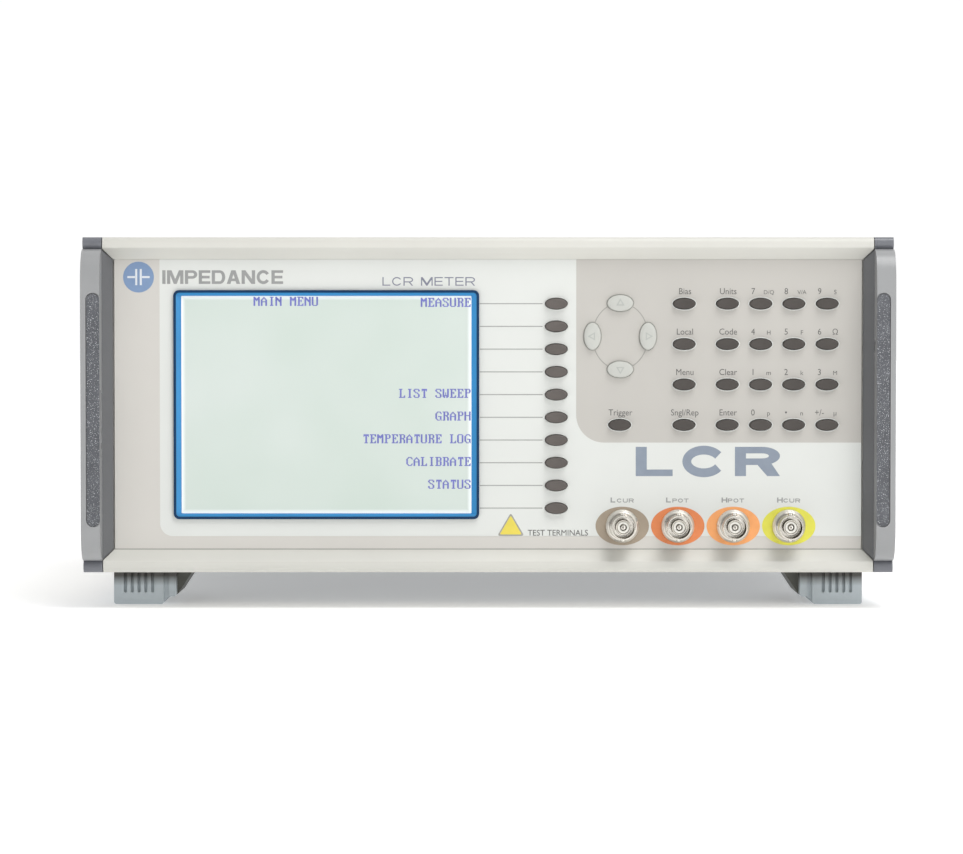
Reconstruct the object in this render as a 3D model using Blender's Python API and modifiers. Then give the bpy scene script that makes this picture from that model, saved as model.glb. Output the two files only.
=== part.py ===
"""Bench LCR meter: a 3U instrument case with a display, a keypad and four coaxial test ports.

Metres, +Z up, the front faces -Y, +X is on the right as a user sees the front.  The origin is
in the middle of the footprint, on the bench.  Run it with: blender --background --python part.py
"""
import math

import bmesh
import bpy
from mathutils import Matrix, Vector

# The whole object
WIDTH = 0.320
DEPTH = 0.340
HEIGHT = 0.147
FOOT_HEIGHT = 0.0145
GAP = 0.0003                      # clearance between pieces that touch
FRONT_Y = -DEPTH / 2
REAR_Y = DEPTH / 2

# Front frame, handle cheeks and panel
FRAME_FRONT_Y = -0.161
FRAME_BACK_Y = -0.128
PANEL_Y = -0.1565                 # visible face of the front panel
PANEL_THICK = 0.002
PANEL_HALF_X = 0.1482             # the frame's opening, at the panel
PANEL_LOW_Z = 0.0234
PANEL_HIGH_Z = 0.1383
BAR_END_X = 0.1522
CHEEK_IN_X = 0.1525
CHEEK_OUT_X = WIDTH / 2
FLANK_SEAT_Y = -0.1555            # the cheek flank lies in front of this plane
CORNER_BLOCK = 0.0047             # height of the flat block at each end of a cheek
BULGE_RUN = 0.0140                # length over which a cheek swells forward

# Case
COVER_HALF_X = 0.158
COVER_TOP_Z = 0.1465
SHEET = 0.0012
CASE_FRONT_Y = FRAME_BACK_Y + GAP
CASE_REAR_Y = 0.1600
REAR_PANEL_THICK = 0.0018
CHASSIS_WALL_Z = 0.030

# Display
SCREEN_CENTRE = (-0.0640, 0.0808)     # X and Z of the middle of the display
SCREEN_SIZE = (0.1149, 0.0862)
BEZEL_SIZE = (0.1210, 0.0907)
BEZEL_PROUD = 0.0014
MODULE_SIZE = (0.1320, 0.1000)
MODULE_DEPTH = 0.0100

# Keys: X and Z of the centres, width and height
KEY_SIZE = (0.0087, 0.0042)
KEY_PROUD = 0.0020
KEY_TRAVEL = 0.0012
KEY_FLANGE = 1.22                 # the hidden flange is this much wider than the cap
KEY_FLANGE_THICK = 0.0010
KEY_SEGMENTS = 16
SOFTKEY_X = 0.0270
SOFTKEY_TOP_Z = 0.1208
SOFTKEY_PITCH = 0.0090
SOFTKEY_COUNT = 10
PAD_COLUMNS = (0.0776, 0.0947, 0.1079, 0.1210, 0.1342)
PAD_TOP_Z = 0.1208
PAD_PITCH = 0.0160
PAD_NAMES = (
    ("bias", "units", "7", "8", "9"),
    ("local", "code", "4", "5", "6"),
    ("menu", "clear", "1", "2", "3"),
    ("single", "enter", "0", "point", "sign"),
)
TRIGGER_X = 0.0521
ARROW_CENTRE = (0.0523, 0.1079)
ARROW_REACH = (0.0110, 0.0131)
ARROW_WIDE = (0.0103, 0.0065)
ARROW_TALL = (0.0067, 0.0108)

# Test ports
PORT_FIRST_X = 0.0532
PORT_PITCH = 0.0220
PORT_Z = 0.0327
PORT_LENGTH = 0.0128              # from the panel to the end of the barrel
PORT_SEGMENTS = 20
PORT_HOLE_R = 0.0051
PORT_NAMES = ("current_low", "potential_low", "potential_high", "current_high")

# Feet and tilt legs
FOOT_OUT_X = 0.1505
FOOT_IN_X = 0.1185
FOOT_FRONT_Y = -0.1360
FOOT_BACK_Y = -0.0920
FOOT_RIB_PITCH = 0.0027
FOOT_RIB_FIRST_X = 0.1433
LEG_PIVOT = (-0.1225, 0.0052)     # Y and Z of the tilt leg's axis
LEG_HALF_THICK = 0.0027
LEG_LENGTH = 0.0420
LEG_IN_X = 0.1345
LEG_OUT_X = 0.1475
REAR_FOOT_IN_X = 0.1440
REAR_FOOT_FRONT_Y = 0.1270

# Inside and rear
BOARD_THICK = 0.0016
MAIN_BOARD_Z = 0.0260
FAN_CENTRE = (0.0950, 0.0780)
FAN_SIZE = 0.0600
FAN_DEPTH = 0.0250
FAN_BORE_R = 0.0283
INLET_CENTRE = (-0.1150, 0.0440)
INLET_CAVITY = (0.0235, 0.0155)
INLET_BODY = (0.0265, 0.0190)
INLET_FLANGE = (0.0310, 0.0240)
SWITCH_CENTRE = (-0.1150, 0.0860)
SWITCH_HALF = (0.0060, 0.0090)
SWITCH_LEAN = math.radians(8)

FRONT_TURN = (math.pi / 2, 0, 0)              # local XY outline in the world's XZ plane


# ---------------------------------------------------------------- scene and materials
def clear_scene():
    for old in list(bpy.data.objects):
        bpy.data.objects.remove(old, do_unlink=True)


def new_collection(name):
    collection = bpy.data.collections.new(name)
    bpy.context.scene.collection.children.link(collection)
    return collection


def material(name, colour, roughness, metallic=0.0):
    found = bpy.data.materials.get(name)
    if found:
        return found
    made = bpy.data.materials.new(name)
    made.use_nodes = True
    shader = made.node_tree.nodes["Principled BSDF"]
    shader.inputs["Base Color"].default_value = (*colour, 1.0)
    shader.inputs["Roughness"].default_value = roughness
    shader.inputs["Metallic"].default_value = metallic
    return made


def cream_plastic():
    return material("cream_plastic", (0.73, 0.73, 0.67), 0.45)


def grey_plastic():
    return material("grey_plastic", (0.16, 0.16, 0.17), 0.50)


def painted_panel():
    return material("painted_panel", (0.80, 0.82, 0.78), 0.50)


def painted_sheet():
    return material("painted_sheet", (0.62, 0.61, 0.56), 0.55)


def plated_steel():
    return material("plated_steel", (0.62, 0.63, 0.64), 0.35, 1.0)


def blue_plastic():
    return material("blue_plastic", (0.03, 0.16, 0.45), 0.35)


def display_glass():
    return material("display_glass", (0.62, 0.68, 0.62), 0.15)


def dark_key():
    return material("dark_key_rubber", (0.10, 0.09, 0.08), 0.60)


def pale_key():
    return material("pale_key_rubber", (0.74, 0.75, 0.72), 0.60)


def port_metal():
    return material("port_metal", (0.75, 0.73, 0.70), 0.25, 1.0)


def foot_plastic():
    return material("foot_plastic", (0.32, 0.38, 0.42), 0.50)


def board_green():
    return material("board_laminate", (0.03, 0.20, 0.09), 0.50)


def black_plastic():
    return material("black_plastic", (0.02, 0.02, 0.02), 0.45)


# ---------------------------------------------------------------- shapes
def add_piece(name, mesh, skin):
    """Link a mesh as a named piece of the meter."""
    mesh.name = name
    piece = bpy.data.objects.new(name, mesh)
    PARTS.objects.link(piece)
    if not mesh.materials:
        mesh.materials.append(skin)
    return piece


def add_cutter(name, mesh):
    """Link a mesh as a hidden tool for a Boolean modifier."""
    cutter = bpy.data.objects.new(name, mesh)
    CUTTERS.objects.link(cutter)
    cutter.hide_render = True
    cutter.display_type = "WIRE"
    return cutter


def box_mesh(name, boxes):
    """One mesh of axis-aligned boxes, each given by its low and high corner."""
    mesh = bpy.data.meshes.new(name)
    shape = bmesh.new()
    for low, high in boxes:
        low, high = Vector(low), Vector(high)
        size = high - low
        place = Matrix.Translation((low + high) / 2) @ Matrix.Diagonal((*size, 1))
        bmesh.ops.create_cube(shape, size=1, matrix=place)
    shape.to_mesh(mesh)
    shape.free()
    return mesh


def slice_mesh(mesh, point, normal):
    """Cut away what lies on the normal's side of a plane, and close the cut."""
    shape = bmesh.new()
    shape.from_mesh(mesh)
    geometry = shape.verts[:] + shape.edges[:] + shape.faces[:]
    cut = bmesh.ops.bisect_plane(
        shape, geom=geometry, plane_co=point, plane_no=normal, clear_outer=True)
    edges = [item for item in cut["geom_cut"] if isinstance(item, bmesh.types.BMEdge)]
    bmesh.ops.edgeloop_fill(shape, edges=edges)
    bmesh.ops.recalc_face_normals(shape, faces=shape.faces[:])
    shape.to_mesh(mesh)
    shape.free()


def slab_mesh(name, outlines, thickness):
    """A flat slab in the local XY plane; outlines inside the first one are holes."""
    curve = bpy.data.curves.new(name, "CURVE")
    curve.dimensions = "2D"
    curve.fill_mode = "BOTH"
    curve.extrude = thickness / 2
    for outline in outlines:
        spline = curve.splines.new("POLY")
        spline.points.add(len(outline) - 1)
        for point, (x, y) in zip(spline.points, outline):
            point.co = (x, y, 0, 1)
        spline.use_cyclic_u = True
    drawn = bpy.data.objects.new(name, curve)
    bpy.context.scene.collection.objects.link(drawn)
    depsgraph = bpy.context.evaluated_depsgraph_get()
    mesh = bpy.data.meshes.new_from_object(drawn.evaluated_get(depsgraph))
    bpy.data.objects.remove(drawn)
    shape = bmesh.new()
    shape.from_mesh(mesh)
    bmesh.ops.remove_doubles(shape, verts=shape.verts[:], dist=0.000002)
    bmesh.ops.recalc_face_normals(shape, faces=shape.faces[:])
    shape.to_mesh(mesh)
    shape.free()
    return mesh


def front_slab(name, outlines, near_y, far_y):
    """A slab whose outline is drawn in X and Z, between two Y planes, as a mesh in place."""
    mesh = slab_mesh(name, outlines, far_y - near_y)
    mesh.transform(Matrix.Translation((0, (near_y + far_y) / 2, 0))
                   @ Matrix.Rotation(math.pi / 2, 4, "X"))
    return mesh


def side_slab(name, outlines, low_x, high_x):
    """A slab whose outline is drawn in Y and Z, between two X planes, as a mesh in place."""
    mesh = slab_mesh(name, outlines, high_x - low_x)
    turn = Matrix.Rotation(math.pi / 2, 4, "Z") @ Matrix.Rotation(math.pi / 2, 4, "X")
    mesh.transform(Matrix.Translation(((low_x + high_x) / 2, 0, 0)) @ turn)
    return mesh


def rectangle(centre, size, radius=0.0, steps=4):
    """Corner points of a rectangle, with its corners as arcs where radius is given."""
    half_w, half_h = size[0] / 2 - radius, size[1] / 2 - radius
    points = []
    for quarter, (side_x, side_y) in enumerate(((1, 1), (-1, 1), (-1, -1), (1, -1))):
        corner = (centre[0] + side_x * half_w, centre[1] + side_y * half_h)
        if not radius:
            points.append(corner)
            continue
        points += arc(corner, radius, quarter * math.pi / 2, (quarter + 1) * math.pi / 2, steps)
    return points


def arc(centre, radius, start, end, steps):
    """Points on an arc, both ends included."""
    angles = [start + (end - start) * step / steps for step in range(steps + 1)]
    return [(centre[0] + radius * math.cos(a), centre[1] + radius * math.sin(a)) for a in angles]


def ellipse(centre, size, steps):
    angles = [2 * math.pi * step / steps for step in range(steps)]
    return [(centre[0] + size[0] / 2 * math.cos(a), centre[1] + size[1] / 2 * math.sin(a))
            for a in angles]


def mirrored(points):
    """The same outline on the other side of X = 0."""
    return [(-x, y) for x, y in reversed(points)]


def cut(piece, cutter):
    modifier = piece.modifiers.new("cut", "BOOLEAN")
    modifier.operation = "DIFFERENCE"
    modifier.solver = "EXACT"
    modifier.object = cutter


def join(piece, other):
    modifier = piece.modifiers.new("join", "BOOLEAN")
    modifier.operation = "UNION"
    modifier.solver = "EXACT"
    modifier.object = other


def soften(piece, width, segments=2, angle=40):
    modifier = piece.modifiers.new("bevel", "BEVEL")
    modifier.width = width
    modifier.segments = segments
    modifier.limit_method = "ANGLE"
    modifier.angle_limit = math.radians(angle)


def turned_mesh(name, profile, segments, stretch=1.0):
    """Turn a profile of (radius, height) points, outer side top to bottom, about local Z."""
    mesh = bpy.data.meshes.new(name)
    edges = [(i, i + 1) for i in range(len(profile) - 1)]
    mesh.from_pydata([(radius, 0, height) for radius, height in profile], edges, [])
    drawn = bpy.data.objects.new(name, mesh)
    bpy.context.scene.collection.objects.link(drawn)
    screw = drawn.modifiers.new("turn", "SCREW")
    screw.steps = segments
    screw.render_steps = segments
    screw.use_merge_vertices = True
    screw.merge_threshold = 0.000001
    depsgraph = bpy.context.evaluated_depsgraph_get()
    turned = bpy.data.meshes.new_from_object(drawn.evaluated_get(depsgraph))
    bpy.data.objects.remove(drawn)
    turned.transform(Matrix.Diagonal((1, stretch, 1, 1)))
    turned.shade_smooth()
    turned.set_sharp_from_angle(angle=math.radians(35))
    return turned


# ---------------------------------------------------------------- front frame and cheeks
def build_front_frame():
    """The cream ring: a rounded prism across the front, opened for the panel."""
    edge = 0.002
    outline = [(FRAME_BACK_Y, FOOT_HEIGHT)]
    outline += arc((FRAME_FRONT_Y + edge, FOOT_HEIGHT + edge), edge, -math.pi / 2, -math.pi, 4)
    outline += arc((FRAME_FRONT_Y + edge, HEIGHT - edge), edge, math.pi, math.pi / 2, 4)
    outline += [(FRAME_BACK_Y, HEIGHT)]
    mesh = side_slab("front_frame", [outline], -BAR_END_X, BAR_END_X)
    frame = add_piece("front_frame", mesh, cream_plastic())
    opening = box_mesh("frame_opening", [(
        (-PANEL_HALF_X, FRAME_FRONT_Y - 0.01, PANEL_LOW_Z),
        (PANEL_HALF_X, FRAME_BACK_Y + 0.01, PANEL_HIGH_Z))])
    cut(frame, add_cutter("frame_opening", opening))
    cut(frame, add_cutter("frame_bevel", bevel_funnel()))
    for side in (-1, 1):
        cut(frame, add_cutter(f"frame_mitre_{side}", mitre_block(side)))


def bevel_funnel():
    """A box that widens at 45 degrees towards the front, to bevel the frame's opening."""
    run = 0.006
    low = (-PANEL_HALF_X, PANEL_Y - run, PANEL_LOW_Z)
    high = (PANEL_HALF_X, PANEL_Y, PANEL_HIGH_Z)
    mesh = box_mesh("frame_bevel", [(low, high)])
    middle_z = (PANEL_LOW_Z + PANEL_HIGH_Z) / 2
    for vertex in mesh.vertices:
        if vertex.co.y < PANEL_Y - run / 2:
            vertex.co.x += math.copysign(run, vertex.co.x)
            vertex.co.z += math.copysign(run, vertex.co.z - middle_z)
    return mesh


def mitre_block(side):
    """The space in front of the frame's side wall, which the cheek's flank fills."""
    reach = 0.0012
    inner = PANEL_HALF_X - reach
    outer = BAR_END_X + reach
    rise = outer - PANEL_HALF_X
    outline = [(inner, PANEL_LOW_Z + reach), (outer, PANEL_LOW_Z - rise),
               (outer, PANEL_HIGH_Z + rise), (inner, PANEL_HIGH_Z - reach)]
    if side < 0:
        outline = mirrored(outline)
    return front_slab("frame_mitre", [outline], FRAME_FRONT_Y - 0.002, FLANK_SEAT_Y + GAP)


def cheek_outline():
    """Side view of a cheek: flat end blocks and a middle that swells forward to the front."""
    swell = FRAME_FRONT_Y - FRONT_Y
    steps = 7
    low_z = FOOT_HEIGHT + CORNER_BLOCK
    high_z = HEIGHT - CORNER_BLOCK
    rise = []
    for step in range(steps + 1):
        angle = math.pi / 2 * step / steps
        rise.append((math.sin(angle) ** 0.8 * swell, (1 - math.cos(angle)) * BULGE_RUN))
    points = [(FRAME_BACK_Y, FOOT_HEIGHT), (FRAME_FRONT_Y, FOOT_HEIGHT)]
    points += [(FRAME_FRONT_Y - out, low_z + along) for out, along in rise]
    points += [(FRAME_FRONT_Y - out, high_z - along) for out, along in reversed(rise)]
    points += [(FRAME_FRONT_Y, HEIGHT), (FRAME_BACK_Y, HEIGHT)]
    return points


def flank_mesh(side):
    """The bevelled strip between a cheek and the panel, mitred at both ends."""
    low = (PANEL_HALF_X + GAP, FRAME_FRONT_Y, PANEL_LOW_Z - 0.008)
    high = (CHEEK_IN_X + 0.001, FLANK_SEAT_Y, PANEL_HIGH_Z + 0.008)
    mesh = box_mesh("flank", [(low, high)])
    diagonal = math.sqrt(0.5)
    slice_mesh(mesh, (PANEL_HALF_X, PANEL_Y, 0), (-diagonal, -diagonal, 0))
    slice_mesh(mesh, (PANEL_HALF_X, 0, PANEL_HIGH_Z - 2 * GAP), (-diagonal, 0, diagonal))
    slice_mesh(mesh, (PANEL_HALF_X, 0, PANEL_LOW_Z + 2 * GAP), (-diagonal, 0, -diagonal))
    if side < 0:
        mesh.transform(Matrix.Diagonal((-1, 1, 1, 1)))
        mesh.flip_normals()
    return mesh


def build_handles():
    for side, name in ((-1, "handle_left"), (1, "handle_right")):
        edges = sorted((side * CHEEK_IN_X, side * CHEEK_OUT_X))
        mesh = side_slab(name, [cheek_outline()], *edges)
        cheek = add_piece(name, mesh, grey_plastic())
        soften(cheek, 0.0010, segments=1)
        join(cheek, add_cutter(name + "_flank", flank_mesh(side)))


# ---------------------------------------------------------------- panel, screen, keys, ports
def key_places():
    """Name, centre and size of every key."""
    places = []
    for row in range(SOFTKEY_COUNT):
        centre = (SOFTKEY_X, SOFTKEY_TOP_Z - SOFTKEY_PITCH * row)
        places.append((f"softkey_{row + 1}", centre, KEY_SIZE))
    for row, names in enumerate(PAD_NAMES):
        for x, name in zip(PAD_COLUMNS, names):
            places.append((f"key_{name}", (x, PAD_TOP_Z - PAD_PITCH * row), KEY_SIZE))
    places.append(("key_trigger", (TRIGGER_X, PAD_TOP_Z - PAD_PITCH * 3), KEY_SIZE))
    return places


def arrow_places():
    """Name, centre and size of the four cursor keys."""
    x, z = ARROW_CENTRE
    across, along = ARROW_REACH
    return [("arrow_up", (x, z + along), ARROW_WIDE), ("arrow_down", (x, z - along), ARROW_WIDE),
            ("arrow_left", (x - across, z), ARROW_TALL),
            ("arrow_right", (x + across, z), ARROW_TALL)]


def port_places():
    return [(f"port_{name}", (PORT_FIRST_X + PORT_PITCH * index, PORT_Z))
            for index, name in enumerate(PORT_NAMES)]


def build_front_panel():
    middle_z = (PANEL_LOW_Z + PANEL_HIGH_Z) / 2
    size = (2 * (PANEL_HALF_X - GAP), PANEL_HIGH_Z - PANEL_LOW_Z - 2 * GAP)
    outlines = [rectangle((0, middle_z), size)]
    outlines.append(rectangle(SCREEN_CENTRE, SCREEN_SIZE))
    for _, centre, (width, height) in key_places() + arrow_places():
        hole = (width + 4 * GAP, height + 4 * GAP)
        outlines.append(ellipse(centre, hole, KEY_SEGMENTS))
    for _, centre in port_places():
        outlines.append(ellipse(centre, (2 * PORT_HOLE_R, 2 * PORT_HOLE_R), KEY_SEGMENTS))
    mesh = front_slab("front_panel", outlines, PANEL_Y, PANEL_Y + PANEL_THICK)
    add_piece("front_panel", mesh, painted_panel())


def build_screen():
    ring = [rectangle(SCREEN_CENTRE, BEZEL_SIZE, 0.002), rectangle(SCREEN_CENTRE, SCREEN_SIZE)]
    mesh = front_slab("screen_bezel", ring, PANEL_Y - BEZEL_PROUD, PANEL_Y - GAP)
    add_piece("screen_bezel", mesh, blue_plastic())
    x, z = SCREEN_CENTRE
    seat_y = PANEL_Y + PANEL_THICK + GAP
    shell = box_mesh("display_module", [(
        (x - MODULE_SIZE[0] / 2, seat_y, z - MODULE_SIZE[1] / 2),
        (x + MODULE_SIZE[0] / 2, seat_y + MODULE_DEPTH, z + MODULE_SIZE[1] / 2))])
    module = add_piece("display_module", shell, display_glass())
    half_w, half_h = SCREEN_SIZE[0] / 2 - GAP, SCREEN_SIZE[1] / 2 - GAP
    glass = box_mesh("display_glass", [(
        (x - half_w, PANEL_Y, z - half_h), (x + half_w, seat_y + 0.001, z + half_h))])
    join(module, add_cutter("display_glass", glass))


def key_mesh(name, size):
    """A cap through the panel with a flange behind it; local Z points out of the panel."""
    half = size[0] / 2
    seat = -PANEL_THICK - GAP
    profile = [(0, KEY_PROUD), (half * 0.80, KEY_PROUD), (half, KEY_PROUD - 0.0008),
               (half, seat), (half * KEY_FLANGE, seat),
               (half * KEY_FLANGE, seat - KEY_FLANGE_THICK), (0, seat - KEY_FLANGE_THICK)]
    return turned_mesh(name, profile, KEY_SEGMENTS, stretch=size[1] / size[0])


def place_on_panel(piece, centre):
    piece.location = (centre[0], PANEL_Y, centre[1])
    piece.rotation_euler = FRONT_TURN


def build_keys():
    cap = key_mesh("dark_key", KEY_SIZE)
    for name, centre, _ in key_places():
        place_on_panel(add_piece(name, cap.copy(), dark_key()), centre)
    bpy.data.meshes.remove(cap)
    for name, centre, size in arrow_places():
        place_on_panel(add_piece(name, key_mesh(name, size), pale_key()), centre)


def port_mesh(name):
    """A coaxial socket: barrel, flange and nut, with the insulator and its contact inside."""
    tip = PORT_LENGTH
    bore_floor = 0.0035
    insulator = 0.0024
    contact = 0.0007
    profile = [(0, tip - 0.0050), (contact, tip - 0.0050), (contact, tip - 0.0022),
               (insulator, tip - 0.0022), (insulator, bore_floor), (0.0041, bore_floor),
               (0.0041, tip), (0.0048, tip), (0.0048, 0.0024), (0.0065, 0.0020),
               (0.0065, GAP), (0.0048, GAP), (0.0048, -PANEL_THICK - GAP),
               (0.0070, -PANEL_THICK - GAP), (0.0070, -PANEL_THICK - 0.0028),
               (0.0035, -PANEL_THICK - 0.0028), (0.0035, -PANEL_THICK - 0.0080),
               (0, -PANEL_THICK - 0.0080)]
    return turned_mesh(name, profile, PORT_SEGMENTS)


def build_ports():
    for name, centre in port_places():
        place_on_panel(add_piece(name, port_mesh(name), port_metal()), centre)


# ---------------------------------------------------------------- case
def build_cover():
    """A sheet bent over the top and both sides, with vent slots low on the sides."""
    corner = 0.003
    low_z = 0.0168
    outer = [(-COVER_HALF_X, low_z)]
    outer += arc((-COVER_HALF_X + corner, COVER_TOP_Z - corner), corner,
                 math.pi, math.pi / 2, 4)
    outer += arc((COVER_HALF_X - corner, COVER_TOP_Z - corner), corner, math.pi / 2, 0, 4)
    outer += [(COVER_HALF_X, low_z)]
    bend = corner - SHEET
    inner = [(COVER_HALF_X - SHEET, low_z)]
    inner += arc((COVER_HALF_X - corner, COVER_TOP_Z - corner), bend, 0, math.pi / 2, 4)
    inner += arc((-COVER_HALF_X + corner, COVER_TOP_Z - corner), bend,
                 math.pi / 2, math.pi, 4)
    inner += [(-COVER_HALF_X + SHEET, low_z)]
    mesh = front_slab("top_cover", [outer + inner], CASE_FRONT_Y, CASE_REAR_Y)
    cover = add_piece("top_cover", mesh, painted_sheet())
    cut(cover, add_cutter("side_vents", side_vents()))


def side_vents():
    """Two rows of upright slots through each side of the cover."""
    pitch = 0.0080
    count = 12
    boxes = []
    for side in (-1, 1):
        near, far = sorted((side * (COVER_HALF_X - 0.003), side * (COVER_HALF_X + 0.003)))
        for row_z in (0.045, 0.085):
            for index in range(count):
                y = 0.040 + pitch * index
                boxes.append(((near, y, row_z), (far, y + 0.003, row_z + 0.028)))
    return box_mesh("side_vents", boxes)


def build_chassis():
    """The tray under everything: a floor with an upright wall just inside each cover side."""
    floor_top = FOOT_HEIGHT + 0.0014
    edge_x = COVER_HALF_X - 0.0001
    wall_out = COVER_HALF_X - SHEET - GAP
    wall_in = wall_out - SHEET
    right = [(edge_x, FOOT_HEIGHT), (edge_x, floor_top), (wall_out, floor_top),
             (wall_out, CHASSIS_WALL_Z), (wall_in, CHASSIS_WALL_Z), (wall_in, floor_top)]
    outline = right + mirrored(right)
    mesh = front_slab("bottom_chassis", [outline], CASE_FRONT_Y, CASE_REAR_Y)
    add_piece("bottom_chassis", mesh, plated_steel())


def grille_slots():
    """Slots across the fan's circle, each as wide as the circle is there."""
    slot = 0.0032
    pitch = 0.0056
    slots = []
    for row in range(-4, 5):
        height = row * pitch
        width = 2 * math.sqrt(0.0265 ** 2 - height ** 2)
        centre = (FAN_CENTRE[0], FAN_CENTRE[1] + height)
        slots.append(rectangle(centre, (width, slot)))
    return slots


def build_rear_panel():
    height = COVER_TOP_Z - FOOT_HEIGHT
    middle_z = (COVER_TOP_Z + FOOT_HEIGHT) / 2
    outlines = [rectangle((0, middle_z), (2 * COVER_HALF_X, height), 0.003)]
    outlines += grille_slots()
    inlet_hole = [size + 2 * GAP for size in INLET_BODY]
    outlines.append(rectangle(INLET_CENTRE, inlet_hole))
    switch_hole = [2 * (half + 0.0012) for half in SWITCH_HALF]
    outlines.append(rectangle(SWITCH_CENTRE, switch_hole))
    near = CASE_REAR_Y + GAP
    mesh = front_slab("rear_panel", outlines, near, near + REAR_PANEL_THICK)
    add_piece("rear_panel", mesh, painted_sheet())


# ---------------------------------------------------------------- feet and tilt legs
def build_front_feet():
    for side, name in ((-1, "front_foot_left"), (1, "front_foot_right")):
        top = FOOT_HEIGHT - GAP
        outline = [(FOOT_OUT_X, top), (FOOT_IN_X, top), (0.1260, 0.0030), (0.1290, 0.0030),
                   (0.1320, 0.0), (FOOT_OUT_X - 0.0006, 0.0)]
        if side < 0:
            outline = mirrored(outline)
        mesh = front_slab(name, [outline], FOOT_FRONT_Y, FOOT_BACK_Y)
        foot = add_piece(name, mesh, foot_plastic())
        cut(foot, add_cutter(name + "_channel", box_mesh(name, [leg_channel(side)])))
        cut(foot, add_cutter(name + "_grooves", box_mesh(name, foot_grooves(side))))


def side_box(side, near_x, far_x, low, high):
    """A box on one side of the middle: X from near to far, and the rest from (Y, Z) corners."""
    x = sorted((side * near_x, side * far_x))
    return (x[0], *low), (x[1], *high)


def leg_channel(side):
    """The space that the folded leg lies in, open below and behind."""
    clear = 0.0007
    low = (LEG_PIVOT[0] - LEG_HALF_THICK - 0.0012, -0.001)
    high = (FOOT_BACK_Y + 0.001, LEG_PIVOT[1] + LEG_HALF_THICK + clear)
    return side_box(side, LEG_IN_X - clear, LEG_OUT_X + clear, low, high)


def foot_grooves(side):
    """Five upright grooves in the upper half of the foot's front face."""
    half = 0.0004
    boxes = []
    for index in range(5):
        x = FOOT_RIB_FIRST_X - FOOT_RIB_PITCH * index
        low = (FOOT_FRONT_Y - 0.001, 0.0065)
        high = (FOOT_FRONT_Y + 0.0015, FOOT_HEIGHT + 0.001)
        boxes.append(side_box(side, x - half, x + half, low, high))
    return boxes


def build_tilt_legs():
    for side, name in ((-1, "tilt_leg_left"), (1, "tilt_leg_right")):
        outline = arc((0, 0), LEG_HALF_THICK, math.pi / 2, 3 * math.pi / 2, 8)
        outline += arc((LEG_LENGTH, 0), LEG_HALF_THICK, -math.pi / 2, math.pi / 2, 6)
        half = (LEG_OUT_X - LEG_IN_X) / 2
        leg = add_piece(name, side_slab(name, [outline], -half, half), foot_plastic())
        leg.location = (side * (LEG_IN_X + LEG_OUT_X) / 2, *LEG_PIVOT)


def build_rear_feet():
    """A foot under each rear corner that carries on up behind the rear panel as a bumper."""
    post_y = CASE_REAR_Y + REAR_PANEL_THICK + 2 * GAP
    top = FOOT_HEIGHT - GAP
    edge = 0.003
    outline = [(REAR_FOOT_FRONT_Y, top), (REAR_FOOT_FRONT_Y + edge, 0)]
    outline += arc((REAR_Y - edge, edge), edge, -math.pi / 2, 0, 3)
    outline += arc((REAR_Y - edge, HEIGHT - edge), edge, 0, math.pi / 2, 3)
    outline += [(post_y, HEIGHT), (post_y, top)]
    for side, name in ((-1, "rear_foot_left"), (1, "rear_foot_right")):
        edges = sorted((side * REAR_FOOT_IN_X, side * COVER_HALF_X))
        add_piece(name, side_slab(name, [outline], *edges), foot_plastic())


# ---------------------------------------------------------------- inside and rear
def build_boards():
    main = box_mesh("main_board", [(
        (-0.1450, -0.1200, MAIN_BOARD_Z), (0.1450, 0.1200, MAIN_BOARD_Z + BOARD_THICK))])
    add_piece("main_board", main, board_green())
    travel_room = KEY_FLANGE_THICK + KEY_TRAVEL + 2 * GAP
    board_y = PANEL_Y + PANEL_THICK + travel_room
    outline = [(0.0180, 0.0340), (0.0400, 0.0340), (0.0400, 0.0640), (0.1450, 0.0640),
               (0.1450, 0.1340), (0.0180, 0.1340)]
    mesh = front_slab("keypad_board", [outline], board_y, board_y + BOARD_THICK)
    add_piece("keypad_board", mesh, board_green())


def build_fan():
    """A square fan frame with a motor plate on three struts, and the rotor inside it."""
    back_y = CASE_REAR_Y - GAP
    outlines = [rectangle((0, 0), (FAN_SIZE, FAN_SIZE), 0.004, 2),
                ellipse((0, 0), (2 * FAN_BORE_R, 2 * FAN_BORE_R), 24)]
    housing = add_piece("fan_housing", slab_mesh("fan_housing", outlines, FAN_DEPTH),
                        black_plastic())
    housing.location = (FAN_CENTRE[0], back_y - FAN_DEPTH / 2, FAN_CENTRE[1])
    housing.rotation_euler = FRONT_TURN
    spider = add_cutter("fan_spider", fan_spider())
    spider.matrix_world = Matrix.Translation(housing.location) @ Matrix.Rotation(
        math.pi / 2, 4, "X")
    join(housing, spider)
    rotor = add_piece("fan_rotor", turned_mesh("fan_rotor", rotor_profile(), 20),
                      black_plastic())
    rotor.location = housing.location
    rotor.rotation_euler = FRONT_TURN
    blades = add_cutter("fan_blades", fan_blades())
    blades.matrix_world = spider.matrix_world.copy()
    join(rotor, blades)


def fan_spider():
    """Motor plate and three struts at the inner end of the fan frame, as one star outline."""
    plate_r = 0.013
    reach = FAN_BORE_R + 0.001
    half = 0.0015
    spread = math.asin(half / plate_r)
    outline = []
    for strut in range(3):
        middle = 2 * math.pi * strut / 3
        across = Vector((-math.sin(middle), math.cos(middle))) * half
        tip = Vector((math.cos(middle), math.sin(middle))) * reach
        outline += [tuple(tip - across), tuple(tip + across)]
        outline += arc((0, 0), plate_r, middle + spread, middle + 2 * math.pi / 3 - spread, 6)
    mesh = slab_mesh("fan_spider", [outline], 0.003)
    mesh.transform(Matrix.Translation((0, 0, FAN_DEPTH / 2 - 0.0015)))
    return mesh


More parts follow.
